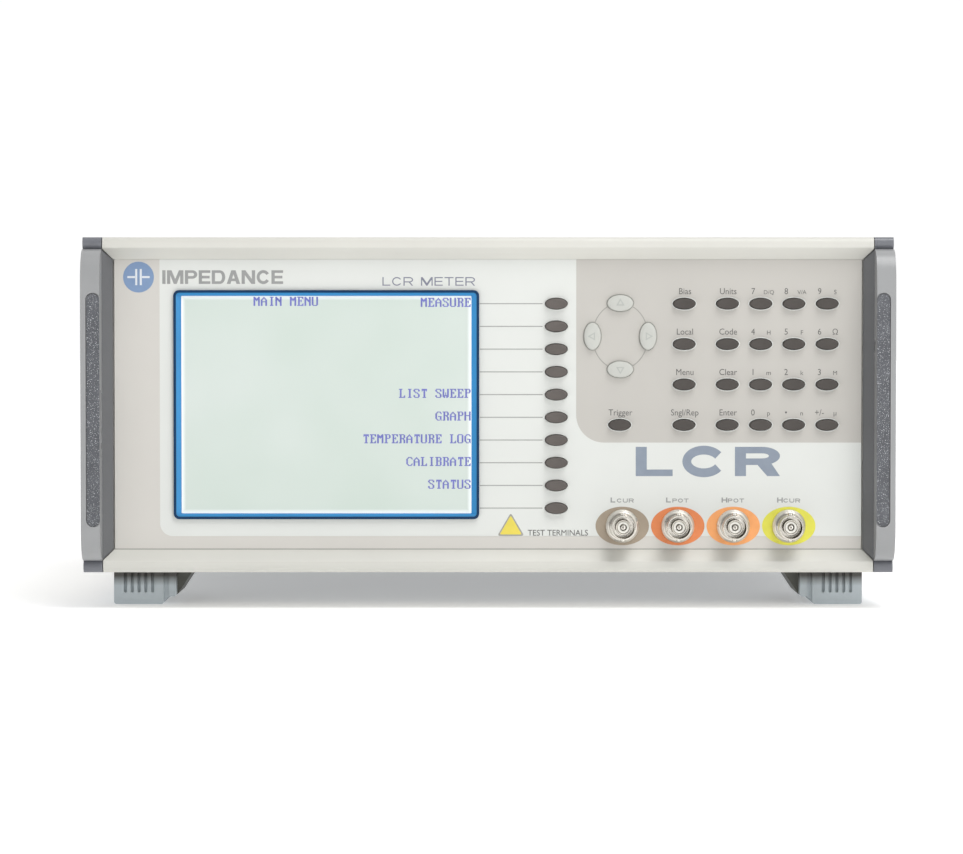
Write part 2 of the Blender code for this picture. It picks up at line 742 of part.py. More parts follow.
def rotor_profile():
    front = FAN_DEPTH / 2 - 0.0036
    back = -FAN_DEPTH / 2 + 0.0015
    return [(0, front), (0.0125, front), (0.0125, back + 0.001), (0.0115, back), (0, back)]


def fan_blades():
    """Seven pitched blades that start inside the hub."""
    count = 7
    mesh = bpy.data.meshes.new("fan_blades")
    shape = bmesh.new()
    inner, outer = 0.0110, FAN_BORE_R - 0.0013
    for index in range(count):
        place = (Matrix.Rotation(2 * math.pi * index / count, 4, "Z")
                 @ Matrix.Translation(((inner + outer) / 2, 0, -0.0012))
                 @ Matrix.Rotation(math.radians(38), 4, "X")
                 @ Matrix.Diagonal((outer - inner, 0.0014, 0.0140, 1)))
        bmesh.ops.create_cube(shape, size=1, matrix=place)
    shape.to_mesh(mesh)
    shape.free()
    return mesh


def build_inlet():
    """A panel-mounted mains inlet: flange outside, body through the panel, open cavity."""
    panel_out = CASE_REAR_Y + GAP + REAR_PANEL_THICK
    flange_y = panel_out + GAP
    outer_y = flange_y + 0.0025
    body = front_slab("power_inlet", [rectangle(INLET_CENTRE, INLET_BODY)],
                      outer_y - 0.024, outer_y - 0.0005)
    inlet = add_piece("power_inlet", body, black_plastic())
    flange = front_slab("inlet_flange", [rectangle(INLET_CENTRE, INLET_FLANGE, 0.002)],
                        flange_y, outer_y)
    join(inlet, add_cutter("inlet_flange", flange))
    cavity = front_slab("inlet_cavity", [cavity_outline()], outer_y - 0.0175, outer_y + 0.001)
    cut(inlet, add_cutter("inlet_cavity", cavity))


def cavity_outline():
    """The inlet's shaped hole: a rectangle with its two upper corners cut off."""
    x, z = INLET_CENTRE
    half_w, half_h = INLET_CAVITY[0] / 2, INLET_CAVITY[1] / 2
    corner = 0.0040
    return [(x - half_w, z - half_h), (x + half_w, z - half_h), (x + half_w, z + half_h - corner),
            (x + half_w - corner, z + half_h), (x - half_w + corner, z + half_h),
            (x - half_w, z + half_h - corner)]


def build_switch():
    """A rocker on an axis along X, tipped so that its upper end is pressed in."""
    half_w, half_h = SWITCH_HALF
    outline = [(0.0046, -half_h), (0.0026, 0), (0.0046, half_h), (-0.0010, half_h)]
    outline += [(-0.0060, half_h * 0.5), (-0.0060, -half_h * 0.5), (-0.0010, -half_h)]
    mesh = side_slab("power_switch", [outline], -half_w, half_w)
    rocker = add_piece("power_switch", mesh, black_plastic())
    axis_y = CASE_REAR_Y + REAR_PANEL_THICK
    rocker.location = (SWITCH_CENTRE[0], axis_y, SWITCH_CENTRE[1])
    rocker.rotation_euler = (SWITCH_LEAN, 0, 0)


clear_scene()
PARTS = new_collection("lcr_meter")
CUTTERS = new_collection("cutters")
build_front_frame()
build_handles()
build_front_panel()
build_screen()
build_keys()
build_ports()
build_cover()
build_chassis()
build_rear_panel()
build_front_feet()
build_tilt_legs()
build_rear_feet()
build_boards()
build_fan()
build_inlet()
build_switch()
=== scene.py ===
"""Looks of the bench LCR meter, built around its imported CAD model.

Everything is in metres in the CAD's frame: +X right, +Y to the rear, +Z up, front at -Y.
Places are read from the CAD nodes' boxes, and the rest are named sizes below.
"""
import math

import bmesh
import bpy
from mathutils import Matrix, Vector


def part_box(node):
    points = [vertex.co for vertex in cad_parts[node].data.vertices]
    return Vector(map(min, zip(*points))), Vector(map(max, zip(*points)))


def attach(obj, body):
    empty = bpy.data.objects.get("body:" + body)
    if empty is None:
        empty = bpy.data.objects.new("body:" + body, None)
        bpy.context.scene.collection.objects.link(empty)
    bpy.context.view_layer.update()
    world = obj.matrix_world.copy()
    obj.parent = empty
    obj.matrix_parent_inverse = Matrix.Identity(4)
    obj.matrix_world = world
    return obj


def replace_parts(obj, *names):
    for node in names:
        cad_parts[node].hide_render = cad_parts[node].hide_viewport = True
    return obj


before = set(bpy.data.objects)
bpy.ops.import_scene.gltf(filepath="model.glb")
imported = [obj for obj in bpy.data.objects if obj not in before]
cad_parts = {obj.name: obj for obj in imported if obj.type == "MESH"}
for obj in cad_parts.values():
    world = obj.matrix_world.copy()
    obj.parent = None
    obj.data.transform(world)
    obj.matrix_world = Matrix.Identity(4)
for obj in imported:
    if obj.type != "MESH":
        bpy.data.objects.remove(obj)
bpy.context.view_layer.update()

MM = 0.001

# ---------------------------------------------------------------- places read from the CAD
PANEL_LOW, PANEL_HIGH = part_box("front_panel")
FRAME_LOW, FRAME_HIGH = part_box("front_frame")
BEZEL_LOW, BEZEL_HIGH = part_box("screen_bezel")
MODULE_LOW, MODULE_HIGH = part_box("display_module")
COVER_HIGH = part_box("top_cover")[1]
REAR_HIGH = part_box("rear_panel")[1]
CHEEK_LOW, CHEEK_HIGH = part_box("handle_right")
PANEL_Y = PANEL_LOW.y
SCREEN_CENTRE = ((BEZEL_LOW.x + BEZEL_HIGH.x) / 2, (BEZEL_LOW.z + BEZEL_HIGH.z) / 2)
SCREEN_SIZE = (0.1149, 0.0862)

SOFTKEYS = [f"softkey_{row}" for row in range(1, 11)]
ARROWS = ["arrow_up", "arrow_down", "arrow_left", "arrow_right"]
PAD_ROWS = (("bias", "units", "7", "8", "9"), ("local", "code", "4", "5", "6"),
            ("menu", "clear", "1", "2", "3"), ("single", "enter", "0", "point", "sign"))
PAD_KEYS = [f"key_{name}" for row in PAD_ROWS for name in row] + ["key_trigger"]
PORTS = ["port_current_low", "port_potential_low", "port_potential_high",
         "port_current_high"]

# ---------------------------------------------------------------- printed film
FILM = 0.05 * MM
INK = 0.02 * MM
LIGHT_FACE = PANEL_Y - FILM * 0.6
PAD_FACE = PANEL_Y - FILM
LIGHT_EDGE_X = -0.1300            # left edge of the pale area
LIGHT_EDGE_Z = 0.0287             # lower edge of the pale area
LIGHT_CORNER = 0.0050
PAD_EDGE_X = 0.0349               # left edge of the shaded keypad area
PAD_EDGE_Z = 0.0658               # lower edge of the shaded keypad area
PAD_CORNER = 0.0110
FLANGE_RATIO = 1.22               # a CAD key's hidden flange over its cap
OVAL_SIZE = (21.2 * MM, 15.3 * MM)
PORT_HOLE = (10 * MM, 10 * MM)


# ---------------------------------------------------------------- materials
METAL = {"metallic": 1.0}
# CAD slot, then its skins: colour from 0 to 255, roughness, and sizes in mm with amounts for
# patches of colour, patches of wear (or None) and grain (its depth, in mm).
SURFACES = {
    "cream_plastic": {
        "cream_plastic": ((208, 207, 200), 0.42, (50, 0.025), (10, 0.06), (0.35, 0.006))},
    "grey_plastic": {
        "cheek_plastic": ((152, 153, 154), 0.3, (30, 0.03), (20, 0.03), (1.6, 0.006)),
        "flank_plastic": ((100, 101, 103), 0.34, (40, 0.03), (20, 0.03), (1.6, 0.006)),
        "grip_rubber": ((84, 86, 91), 0.42, (6, 0.14), (2, 0.15), (0.45, 0.09))},
    "painted_panel": {
        "film_base": ((204, 201, 195), 0.5, (40, 0.02), (10, 0.05), (0.3, 0.004)),
        "film_light": ((217, 219, 215), 0.5, (50, 0.015), (10, 0.05), (0.3, 0.004)),
        "film_keypad": ((190, 187, 181), 0.5, (50, 0.02), (10, 0.05), (0.3, 0.004))},
    "blue_plastic": {
        # The bezel's outer edge: its blue painted dark navy as the shade on its chamfer.
        "bezel_navy": ((2, 50, 86), 0.34, (20, 0.15), None, (0.6, 0.006), {"specular": 0.25}),
        "bezel_azure": ((40, 134, 194), 0.32, (30, 0.06), None, (0.6, 0.006),
                        {"specular": 0.4, "coat": 0.1})},
    "dark_key": {
        "key_rubber": ((69, 64, 60), 0.55, (6, 0.10), (3, 0.1), (0.25, 0.012)),
        "softkey_rubber": ((90, 84, 80), 0.55, (6, 0.10), (3, 0.1), (0.25, 0.012))},
    "pale_key": {
        "arrow_rubber": ((192, 193, 187), 0.5, (6, 0.02), (3, 0.08), (0.25, 0.008))},
    "port_metal": {
        "nickel": ((214, 210, 202), 0.2, (4, 0.05), (2, 0.08), (0.4, 0.003), METAL),
        "flange_nickel": ((232, 228, 220), 0.34, (4, 0.05), (2, 0.08), (0.2, 0.004), METAL),
        "contact_gold": ((226, 190, 120), 0.22, (1, 0.08), None, (0.2, 0.002), METAL),
        "contact_silver": ((244, 240, 232), 0.3, (1, 0.05), None, (0.2, 0.002), METAL)},
    "display": {
        "insulator": ((240, 238, 230), 0.4, (2, 0.03), None, (0.2, 0.004)),
        "display_pixels": ((108, 112, 186), 0.4, (2, 0.12), None, (0.3, 0.002))},
    "foot_plastic": {
        "foot_plastic": ((160, 171, 177), 0.45, (10, 0.05), (4, 0.08), (0.4, 0.012)),
        # The foot's web: dark grey painted shade, for the shadow it sits in under the case.
        "foot_web_plastic": ((92, 92, 86), 0.5, (10, 0.06), (4, 0.08), (0.4, 0.012)),
        "front_foot_plastic": ((190, 199, 204), 0.45, (10, 0.03), (4, 0.08), (0.4, 0.012))},
    "painted_sheet": {
        "cover_paint": ((214, 212, 203), 0.52, (60, 0.025), (10, 0.06), (0.7, 0.03))},
    "plated_steel": {
        "plated_sheet": ((176, 180, 182), 0.33, (20, 0.08), (6, 0.1), (0.5, 0.01), METAL),
        "screw_steel": ((190, 190, 188), 0.28, (2, 0.08), None, (0.3, 0.006), METAL)},
    "black_plastic": {
        "black_plastic": ((32, 32, 34), 0.42, (8, 0.15), (3, 0.1), (0.4, 0.012))},
    "board": {
        "solder_mask": ((24, 92, 52), 0.4, (6, 0.12), None, (0.5, 0.01))},
}
INKS = {
    "grey": (150, 151, 150), "title": (124, 126, 142), "fine": (96, 95, 93),
    "line": (158, 159, 156), "big": (134, 144, 158), "badge": (122, 147, 182),
    "white": (218, 222, 226), "taupe": (160, 146, 128), "red": (221, 130, 77),
    "orange": (240, 164, 100), "yellow": (222, 218, 78), "caution": (226, 208, 84),
    "mark": (174, 177, 172), "ring": (156, 155, 149), "soft": (172, 171, 165),
}
INK_FINISH = (0.48, (4, 0.04), None, (0.2, 0.003))
CHEEK_BLOCK_GREY = (112, 114, 120)
FOOT_TOP_PAINTED_SHADE = (75, 73, 70)     # painted shade at a front foot's top, where the bottom bar shadows it
# The pale colour of painted highlights, glints on the grip's texture.
GRIP_PAINTED_GLINT = (190, 192, 196)


def srgb(red, green, blue):
    """A display colour from 0 to 255 as the linear values that a shader takes."""
    def linear(value):
        value /= 255
        return value / 12.92 if value <= 0.04045 else ((value + 0.055) / 1.055) ** 2.4
    return (linear(red), linear(green), linear(blue), 1.0)


def shade(colour, factor):
    """A colour made lighter or darker by factor."""
    return tuple(min(1.0, channel * factor) for channel in colour[:3]) + (1.0,)


def add_node(tree, kind, source, output, values=None, operation=None, socket=0):
    """Add a node with source in one of its sockets, and give back one of its outputs."""
    node = tree.nodes.new("ShaderNode" + kind)
    if operation:
        node.operation = operation
    for name, value in (values or {}).items():
        node.inputs[name].default_value = value
    if source:
        tree.links.new(source, node.inputs[socket])
    return node.outputs[output]


def map_range(tree, source, start, end, low, high):
    """The source's range from start to end, stretched to run from low to high."""
    return add_node(tree, "MapRange", source, "Result",
                    {"From Min": start, "From Max": end, "To Min": low, "To Max": high})


class Surface:
    """A Principled material whose colour, roughness and relief vary over the surface."""

    def __init__(self, name, colour, roughness, metallic=0.0, specular=0.5, coat=0.0):
        self.material = bpy.data.materials.new("look_" + name)
        self.material.use_nodes = True
        self.tree = self.material.node_tree
        self.inputs = self.tree.nodes["Principled BSDF"].inputs
        self.colour = self.tone = colour
        self.roughness = roughness
        values = {"Base Color": colour, "Roughness": roughness, "Metallic": metallic,
                  "Specular IOR Level": specular}
        if coat:
            values.update({"Coat Weight": coat, "Coat Roughness": 0.12})
        for socket, value in values.items():
            self.inputs[socket].default_value = value
        self.place = add_node(self.tree, "TexCoord", None, "Object")

    def noise(self, size, detail=3.0):
        """Noise whose blobs are about size metres across."""
        return add_node(self.tree, "TexNoise", self.place, "Fac",
                        {"Scale": 1 / size, "Detail": detail})

    def remap(self, source, low, high, start=0.3, end=0.7):
        """The middle of a noise's range, stretched to run from low to high."""
        return map_range(self.tree, source, start, end, low, high)

    def mix(self, factor, first, second):
        """A blend of two colours, each a value or another node's output."""
        node = self.tree.nodes.new("ShaderNodeMix")
        node.data_type = "RGBA"
        self.tree.links.new(factor, node.inputs["Factor"])
        for value, socket in ((first, node.inputs[6]), (second, node.inputs[7])):
            if isinstance(value, tuple):
                socket.default_value = value
            else:
                self.tree.links.new(value, socket)
        return node.outputs[2]

    def paint(self, tone, socket="Base Color"):
        """Feed a tone into one of the shader's colours."""
        self.tone = tone
        self.tree.links.new(tone, self.inputs[socket])

    def mottle(self, size, amount):
        """Colour that drifts by amount between patches of about size metres."""
        self.paint(self.mix(self.remap(self.noise(size), 0.0, 1.0),
                            shade(self.colour, 1 - amount), shade(self.colour, 1 + amount)))

    def paint_glints(self, size, colour, share):
        """Small pale flecks over the tone so far, as painted highlights: glints off a fine
        texture.
        """
        glint_mask = self.remap(self.noise(size, 1.0), 0.0, 1.0, 0.72 - share, 0.76 - share)
        self.paint(self.mix(glint_mask, self.tone, colour))

    def banded(self, low_z, high_z, colour):
        """Fades to another colour between two heights."""
        height = add_node(self.tree, "SeparateXYZ", self.place, "Z")
        self.paint(self.mix(self.remap(height, 0.0, 1.0, low_z, high_z), self.tone, colour))

    def worn(self, size, amount):
        """Roughness that varies by amount both ways."""
        varied = self.remap(self.noise(size), self.roughness - amount, self.roughness + amount)
        self.tree.links.new(varied, self.inputs["Roughness"])

    def relief(self, size, depth, detail=2.0):
        """Bump whose grains are about size metres across."""
        bump = add_node(self.tree, "Bump", self.noise(size, detail), "Normal",
                        {"Strength": 1.0, "Distance": depth}, socket="Height")
        self.tree.links.new(bump, self.inputs["Normal"])


def make_materials():
    """Every skin's material, and the CAD slot that each skin stands for."""
    rows = [(name, slot, *row) for slot, skins in SURFACES.items() for name, row in skins.items()]
    rows += [("ink_" + name, "painted_panel", colour, *INK_FINISH)
             for name, colour in INKS.items()]
    low_block, high_block = CHEEK_LOW.z + BLOCK, CHEEK_HIGH.z - BLOCK
    blend = 0.1 * MM
    # Bands: darker end blocks on the cheeks, and painted shade at the top of each front foot,
    # where the bottom bar shadows it.
    bands = {"cheek_plastic": ((high_block - blend, high_block + blend, CHEEK_BLOCK_GREY),
                               (low_block + blend, low_block - blend, CHEEK_BLOCK_GREY)),
             "front_foot_plastic": ((7.5 * MM, 11.5 * MM, FOOT_TOP_PAINTED_SHADE),)}
    materials, slots = {"display_face": display_material()}, {"display_face": "display"}
    for name, slot, colour, roughness, patches, wear, grain, *options in rows:
        surface = Surface(name, srgb(*colour), roughness, **(options[0] if options else {}))
        surface.mottle(patches[0] * MM, patches[1])
        for low_z, high_z, tone in bands.get(name, ()):
            surface.banded(low_z, high_z, srgb(*tone))
        detail = 2.0
        if name == "grip_rubber":
            # Painted highlights: pale flecks stand in for glints off the grip's texture.
            surface.paint_glints(0.38 * MM, srgb(*GRIP_PAINTED_GLINT), 0.09)
            detail = 3.0
        if wear:
            surface.worn(wear[0] * MM, wear[1])
        surface.relief(grain[0] * MM, grain[1] * MM, detail)
        materials[name], slots[name] = surface.material, slot
    return materials, slots


def display_material():
    """A lit panel: pale green, cooler and brighter towards its edges, with a bright rim."""
    surface = Surface("display_face", srgb(218, 229, 221), 0.35, coat=0.25)
    tree = surface.tree
    rims = []
    for axis, centre, size in zip("XZ", SCREEN_CENTRE, SCREEN_SIZE):
        place = add_node(tree, "SeparateXYZ", surface.place, axis)
        offset = add_node(tree, "Math", place, 0, {1: centre}, "SUBTRACT")
        distance = add_node(tree, "Math", offset, 0, operation="ABSOLUTE")
        rims.append(surface.remap(distance, 0.0, 1.0, size / 2 - 1.8 * MM, size / 2 - 0.3 * MM))
    rim_share = add_node(tree, "Math", rims[0], 0, operation="MAXIMUM")
    tree.links.new(rims[1], rim_share.node.inputs[1])
    drift = surface.remap(surface.noise(0.07, 2.0), 0.0, 1.0)
    tone = surface.mix(drift, srgb(192, 205, 196), srgb(206, 214, 209))
    tone = surface.mix(rim_share, tone, srgb(238, 242, 243))
    surface.paint(tone)
    surface.paint(tone, "Emission Color")
    surface.inputs["Emission Strength"].default_value = 0.05
    surface.relief(0.3 * MM, 0.002 * MM)
    return surface.material


# ---------------------------------------------------------------- shapes
def linked(name, data):
    """A new object, in the scene."""
    thing = bpy.data.objects.new(name, data)
    bpy.context.scene.collection.objects.link(thing)
    return thing


def add(name, mesh, skin, body="root"):
    """Show a mesh as a piece that rides on a body."""
    mesh.name = name
    piece = linked(name, mesh)
    mesh.materials.clear()
    mesh.materials.append(SKINS[skin])
    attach(piece, body)
    return piece


def metres(*points):
    """Pairs in millimetres, in metres."""
    return [(first * MM, second * MM) for first, second in points]


def tidy(mesh, merge=0.000001):
    """Merge points that coincide, and turn every face outwards."""
    shape = bmesh.new()
    shape.from_mesh(mesh)
    bmesh.ops.remove_doubles(shape, verts=shape.verts[:], dist=merge)
    bmesh.ops.dissolve_degenerate(shape, edges=shape.edges[:], dist=merge / 2)
    bmesh.ops.recalc_face_normals(shape, faces=shape.faces[:])
    if shape.calc_volume(signed=True) < 0:
        bmesh.ops.reverse_faces(shape, faces=shape.faces[:])
    shape.to_mesh(mesh)
    shape.free()
    return mesh


def evaluated(drawn):
    """The finished mesh of a drawn object, which is then removed."""
    bpy.context.scene.collection.objects.link(drawn)
    depsgraph = bpy.context.evaluated_depsgraph_get()
    mesh = bpy.data.meshes.new_from_object(drawn.evaluated_get(depsgraph))
    bpy.data.objects.remove(drawn)
    return mesh


def slab(outlines, thickness):
    """A slab in the local XY plane; outlines inside the first one are holes."""
    curve = bpy.data.curves.new("outline", "CURVE")
    curve.dimensions = "2D"
    curve.fill_mode = "BOTH"
    curve.extrude = thickness / 2
    for outline in outlines:
        spline = curve.splines.new("POLY")
        spline.points.add(len(outline) - 1)
        for point, (x, y) in zip(spline.points, outline):
            point.co = (x, y, 0, 1)
        spline.use_cyclic_u = True
    return tidy(evaluated(bpy.data.objects.new("outline", curve)))


def facing(mesh, near_y, far_y):
    """Stand a slab up, its local XY plane in X and Z, between two Y planes."""
    mesh.transform(Matrix.Translation((0, (near_y + far_y) / 2, 0))
                   @ Matrix.Rotation(math.pi / 2, 4, "X"))
    return mesh


def front_plate(outlines, near_y, far_y):
    """A slab whose outline is drawn in X and Z, between two Y planes."""
    return facing(slab(outlines, far_y - near_y), near_y, far_y)


def ink_plate(outlines, face_y=LIGHT_FACE):
    """Ink on the face of a film."""
    return front_plate(outlines, face_y - INK, face_y)


def side_plate(outlines, low_x, high_x):
    """A slab whose outline is drawn in Y and Z, between two X planes."""
    mesh = slab(outlines, high_x - low_x)
    turn = Matrix.Rotation(math.pi / 2, 4, "Z") @ Matrix.Rotation(math.pi / 2, 4, "X")
    mesh.transform(Matrix.Translation(((low_x + high_x) / 2, 0, 0)) @ turn)
    return mesh


def arc(centre, radius, start, end, steps):
    """Points on an arc, both ends included; radius may be a pair for an ellipse."""
    wide, high = radius if isinstance(radius, tuple) else (radius, radius)
    angles = [start + (end - start) * step / steps for step in range(steps + 1)]
    return [(centre[0] + wide * math.cos(a), centre[1] + high * math.sin(a)) for a in angles]


def ellipse(centre, size, steps=48):
    """The outline of an ellipse of this width and height."""
    return arc(centre, (size[0] / 2, size[1] / 2), 0, 2 * math.pi, steps)[:-1]


def rectangle(centre, size, radius=0.0, steps=6):
    """The outline of a rectangle, with round corners if there is a radius."""
    half_w, half_h = size[0] / 2 - radius, size[1] / 2 - radius
    points = []
    for quarter, (side_x, side_y) in enumerate(((1, 1), (-1, 1), (-1, -1), (1, -1))):
        corner = (centre[0] + side_x * half_w, centre[1] + side_y * half_h)
        if radius:
            start = quarter * math.pi / 2
            points += arc(corner, radius, start, start + math.pi / 2, steps)
        else:
            points.append(corner)
    return points


def turned(profile, segments, stretch=1.0):
    """Turn (radius, height) points, outer side top to bottom, about local Z."""
    mesh = bpy.data.meshes.new("turned")
    edges = [(i, i + 1) for i in range(len(profile) - 1)]
    mesh.from_pydata([(radius, 0, height) for radius, height in profile], edges, [])
    drawn = bpy.data.objects.new("turned", mesh)
    screw = drawn.modifiers.new("turn", "SCREW")
    screw.steps = segments
    screw.render_steps = segments
    screw.use_merge_vertices = True
    screw.merge_threshold = 0.000001
    result = evaluated(drawn)
    result.transform(Matrix.Diagonal((1, stretch, 1, 1)))
    return smooth(result)


def smooth(mesh, angle=40):
    """Smooth shading, apart from edges sharper than angle."""
    mesh.shade_smooth()
    mesh.set_sharp_from_angle(angle=math.radians(angle))
    return mesh


def boxes(corners):
    """One mesh of boxes, each given by its low and high corner."""
    mesh = bpy.data.meshes.new("boxes")
    shape = bmesh.new()
    for low, high in corners:
        low, high = Vector(low), Vector(high)
        place = Matrix.Translation((low + high) / 2) @ Matrix.Diagonal((*(high - low), 1))
        bmesh.ops.create_cube(shape, size=1, matrix=place)
    shape.to_mesh(mesh)
    shape.free()
    return mesh


def joined(meshes):
    """One mesh of several, each already in place."""
    shape = bmesh.new()
    for mesh in meshes:
        shape.from_mesh(mesh)
        bpy.data.meshes.remove(mesh)
    result = bpy.data.meshes.new("joined")
    shape.to_mesh(result)
    shape.free()
    return result


def soften(piece, width, segments=3, angle=35, harden=True):
    """Round the edges that are sharper than angle."""
    bevel = piece.modifiers.new("bevel", "BEVEL")
    bevel.width = width
    bevel.segments = segments
    bevel.limit_method = "ANGLE"
    bevel.angle_limit = math.radians(angle)
    bevel.harden_normals = harden
    smooth(piece.data, 50)
    return piece


def combine(piece, mesh, operation):
    """Cut or add a mesh with an exact Boolean, and apply it."""
    tool = linked("tool", mesh)
    boolean = piece.modifiers.new("boolean", "BOOLEAN")
    boolean.operation = operation
    boolean.solver = "EXACT"
    boolean.object = tool
    depsgraph = bpy.context.evaluated_depsgraph_get()
    result = bpy.data.meshes.new_from_object(piece.evaluated_get(depsgraph))
    piece.modifiers.clear()
    piece.data = result
    bpy.data.objects.remove(tool)
    return piece


def on_panel(mesh, centre, y=PANEL_Y):
    """Stand a mesh drawn round local Z on the panel, local Z pointing at the user."""
    mesh.transform(Matrix.Translation((centre[0], y, centre[1]))
                   @ Matrix.Rotation(math.pi / 2, 4, "X"))
    return mesh


def centre_of(node):
    """The middle of a CAD node, in X and Z."""
    low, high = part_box(node)
    return ((low.x + high.x) / 2, (low.z + high.z) / 2)


def cap_size(node):
    """Width and height of a key's cap, from the CAD key with its wider flange."""
    low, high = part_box(node)
    return ((high.x - low.x) / FLANGE_RATIO, (high.z - low.z) / FLANGE_RATIO)


def refined(name, node, skin, width, body="root", segments=2):
    """A copy of a CAD node's shape with softened edges, shown in its place."""
    piece = add(name, tidy(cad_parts[node].data.copy(), 0.000003), skin, body)
    soften(piece, width, segments)
    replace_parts(piece, node)
    return piece


# ---------------------------------------------------------------- lettering
def text_mesh(words, size, place, align="CENTER", widen=1.0):
    """Flat raised lettering on the front; place is its baseline point in X and Z."""
    curve = bpy.data.curves.new("words", "FONT")
    curve.body = words
    curve.size = size
    curve.align_x = align
    curve.resolution_u = 3
    curve.extrude = INK
    mesh = tidy(evaluated(bpy.data.objects.new("words", curve)), 0.0000005)
    mesh.transform(Matrix.Diagonal((widen, 1, 1, 1)))
    return on_panel(mesh, place, PANEL_Y - FILM - INK)


def bowl(middle_x, low_z, high_z, reach, start=-90, end=90):
    """The rounded right side of a letter, from its lower to its upper end."""
    return arc((middle_x, (low_z + high_z) / 2), (reach, (high_z - low_z) / 2),
               math.radians(start), math.radians(end), 14)


def stroke(points, thick):
    """The outline of a line of even thickness drawn through the points."""
    left, right = [], []
    for index, point in enumerate(points):
        before = Vector(points[max(index - 1, 0)])
        after = Vector(points[min(index + 1, len(points) - 1)])
        along = (after - before).normalized()
        across = Vector((-along.y, along.x)) * thick / 2
        left.append(tuple(Vector(point) + across))
        right.append(tuple(Vector(point) - across))
    return right + left[::-1]


def letter_outlines(letter, w, h, stem, bar):
    """Outer outline and holes of a capital, its lower left corner at the origin."""
    mid = (h - bar) / 2
    low = h * 0.38
    dip = min(h * 0.36, stem * 2.2)
    core = w * 0.60
    curve = w - core
    lean = stem * 1.15
    if letter in "CU":
        if letter == "C":
            points = arc((w / 2, h / 2), ((w - stem) / 2, (h - bar) / 2),
                         math.radians(32), math.radians(328), 40)
        else:
            turn = h * 0.30
            points = [(stem / 2, h)]
            points += arc((stem / 2 + turn, bar / 2 + turn), turn, math.pi, 1.5 * math.pi, 8)
            points += arc((w - stem / 2 - turn, bar / 2 + turn), turn, 1.5 * math.pi,
                          2 * math.pi, 8) + [(w - stem / 2, h)]
        return [stroke(points, (stem + bar) / 2)]
    if letter == "O":
        return [ellipse((w / 2, h / 2), (w, h)),
                ellipse((w / 2, h / 2), (w - 2 * stem, h - 2 * bar))]
    if letter == "D":
        return [[(0, 0), (core, 0)] + bowl(core, 0, h, curve) + [(0, h)],
                [(stem, bar)] + bowl(core, bar, h - bar, curve - stem) + [(stem, h - bar)]]
    if letter in "PR":
        outer = [(0, 0), (stem, 0), (stem, low)]
        if letter == "R":
            outer += [(core - stem * 0.4, low), (w - lean, 0), (w, 0),
                      (core + lean * 0.75, low + bar * 0.2)]
            outer += bowl(core, low, h, curve, -50)
        else:
            outer += bowl(core, low, h, curve)
        return [outer + [(0, h)],
                [(stem, low + bar)] + bowl(core, low + bar, h - bar, curve - stem)
                + [(stem, h - bar)]]
    if letter == "A":
        peak = h - bar * 1.5
        inset = (w / 2 - lean) / peak

        def inner(z):
            return lean + inset * z
        cross = h * 0.20
        return [[(0, 0), (lean, 0), (inner(cross), cross), (w - inner(cross), cross),
                 (w - lean, 0), (w, 0), (w / 2 + lean * 0.55, h), (w / 2 - lean * 0.55, h)],
                [(inner(cross + bar), cross + bar), (w - inner(cross + bar), cross + bar),
                 (w / 2, peak)]]
    shapes = {
        "I": [(0, 0), (w, 0), (w, h), (0, h)],
        "L": [(0, 0), (w, 0), (w, bar), (stem, bar), (stem, h), (0, h)],
        "T": [((w - stem) / 2, 0), ((w + stem) / 2, 0), ((w + stem) / 2, h - bar),
              (w, h - bar), (w, h), (0, h), (0, h - bar), ((w - stem) / 2, h - bar)],
        "E": [(0, 0), (w, 0), (w, bar), (stem, bar), (stem, mid), (w * 0.94, mid),
              (w * 0.94, mid + bar), (stem, mid + bar), (stem, h - bar), (w, h - bar), (w, h),
              (0, h)],
        "H": [(0, 0), (stem, 0), (stem, mid), (w - stem, mid), (w - stem, 0), (w, 0), (w, h),
              (w - stem, h), (w - stem, mid + bar), (stem, mid + bar), (stem, h), (0, h)],
        "M": [(0, 0), (stem, 0), (stem, h - dip), (w / 2 - stem * 0.45, 0),
              (w / 2 + stem * 0.45, 0), (w - stem, h - dip), (w - stem, 0), (w, 0), (w, h),
              (w - lean * 1.2, h), (w / 2, dip), (lean * 1.2, h), (0, h)],
        "N": [(0, 0), (stem, 0), (stem, h - dip), (w - lean, 0), (w, 0), (w, h),
              (w - stem, h), (w - stem, dip), (lean, h), (0, h)],
    }
    return [shapes[letter]]


LETTER_WIDTHS = {"I": 0.0, "M": 1.22, "E": 0.86, "L": 0.82, "P": 0.92, "T": 0.94, " ": 0.45}


def drawn_words(words, left, base, height, wide, stem, bar, gap):
    """A line of drawn capitals, sized in mm; wide is a plain letter's width over its height."""
    height, stem, bar, gap = (size * MM for size in (height, stem, bar, gap))
    plates = []
    x = left
    for letter in words:
        width = stem if letter == "I" else height * wide * LETTER_WIDTHS.get(letter, 1.0)
        if letter != " ":
            plates.append(ink_plate([[(x + px, base + pz) for px, pz in outline] for outline
                                     in letter_outlines(letter, width, height, stem, bar)]))
        x += width + gap
    return joined(plates)


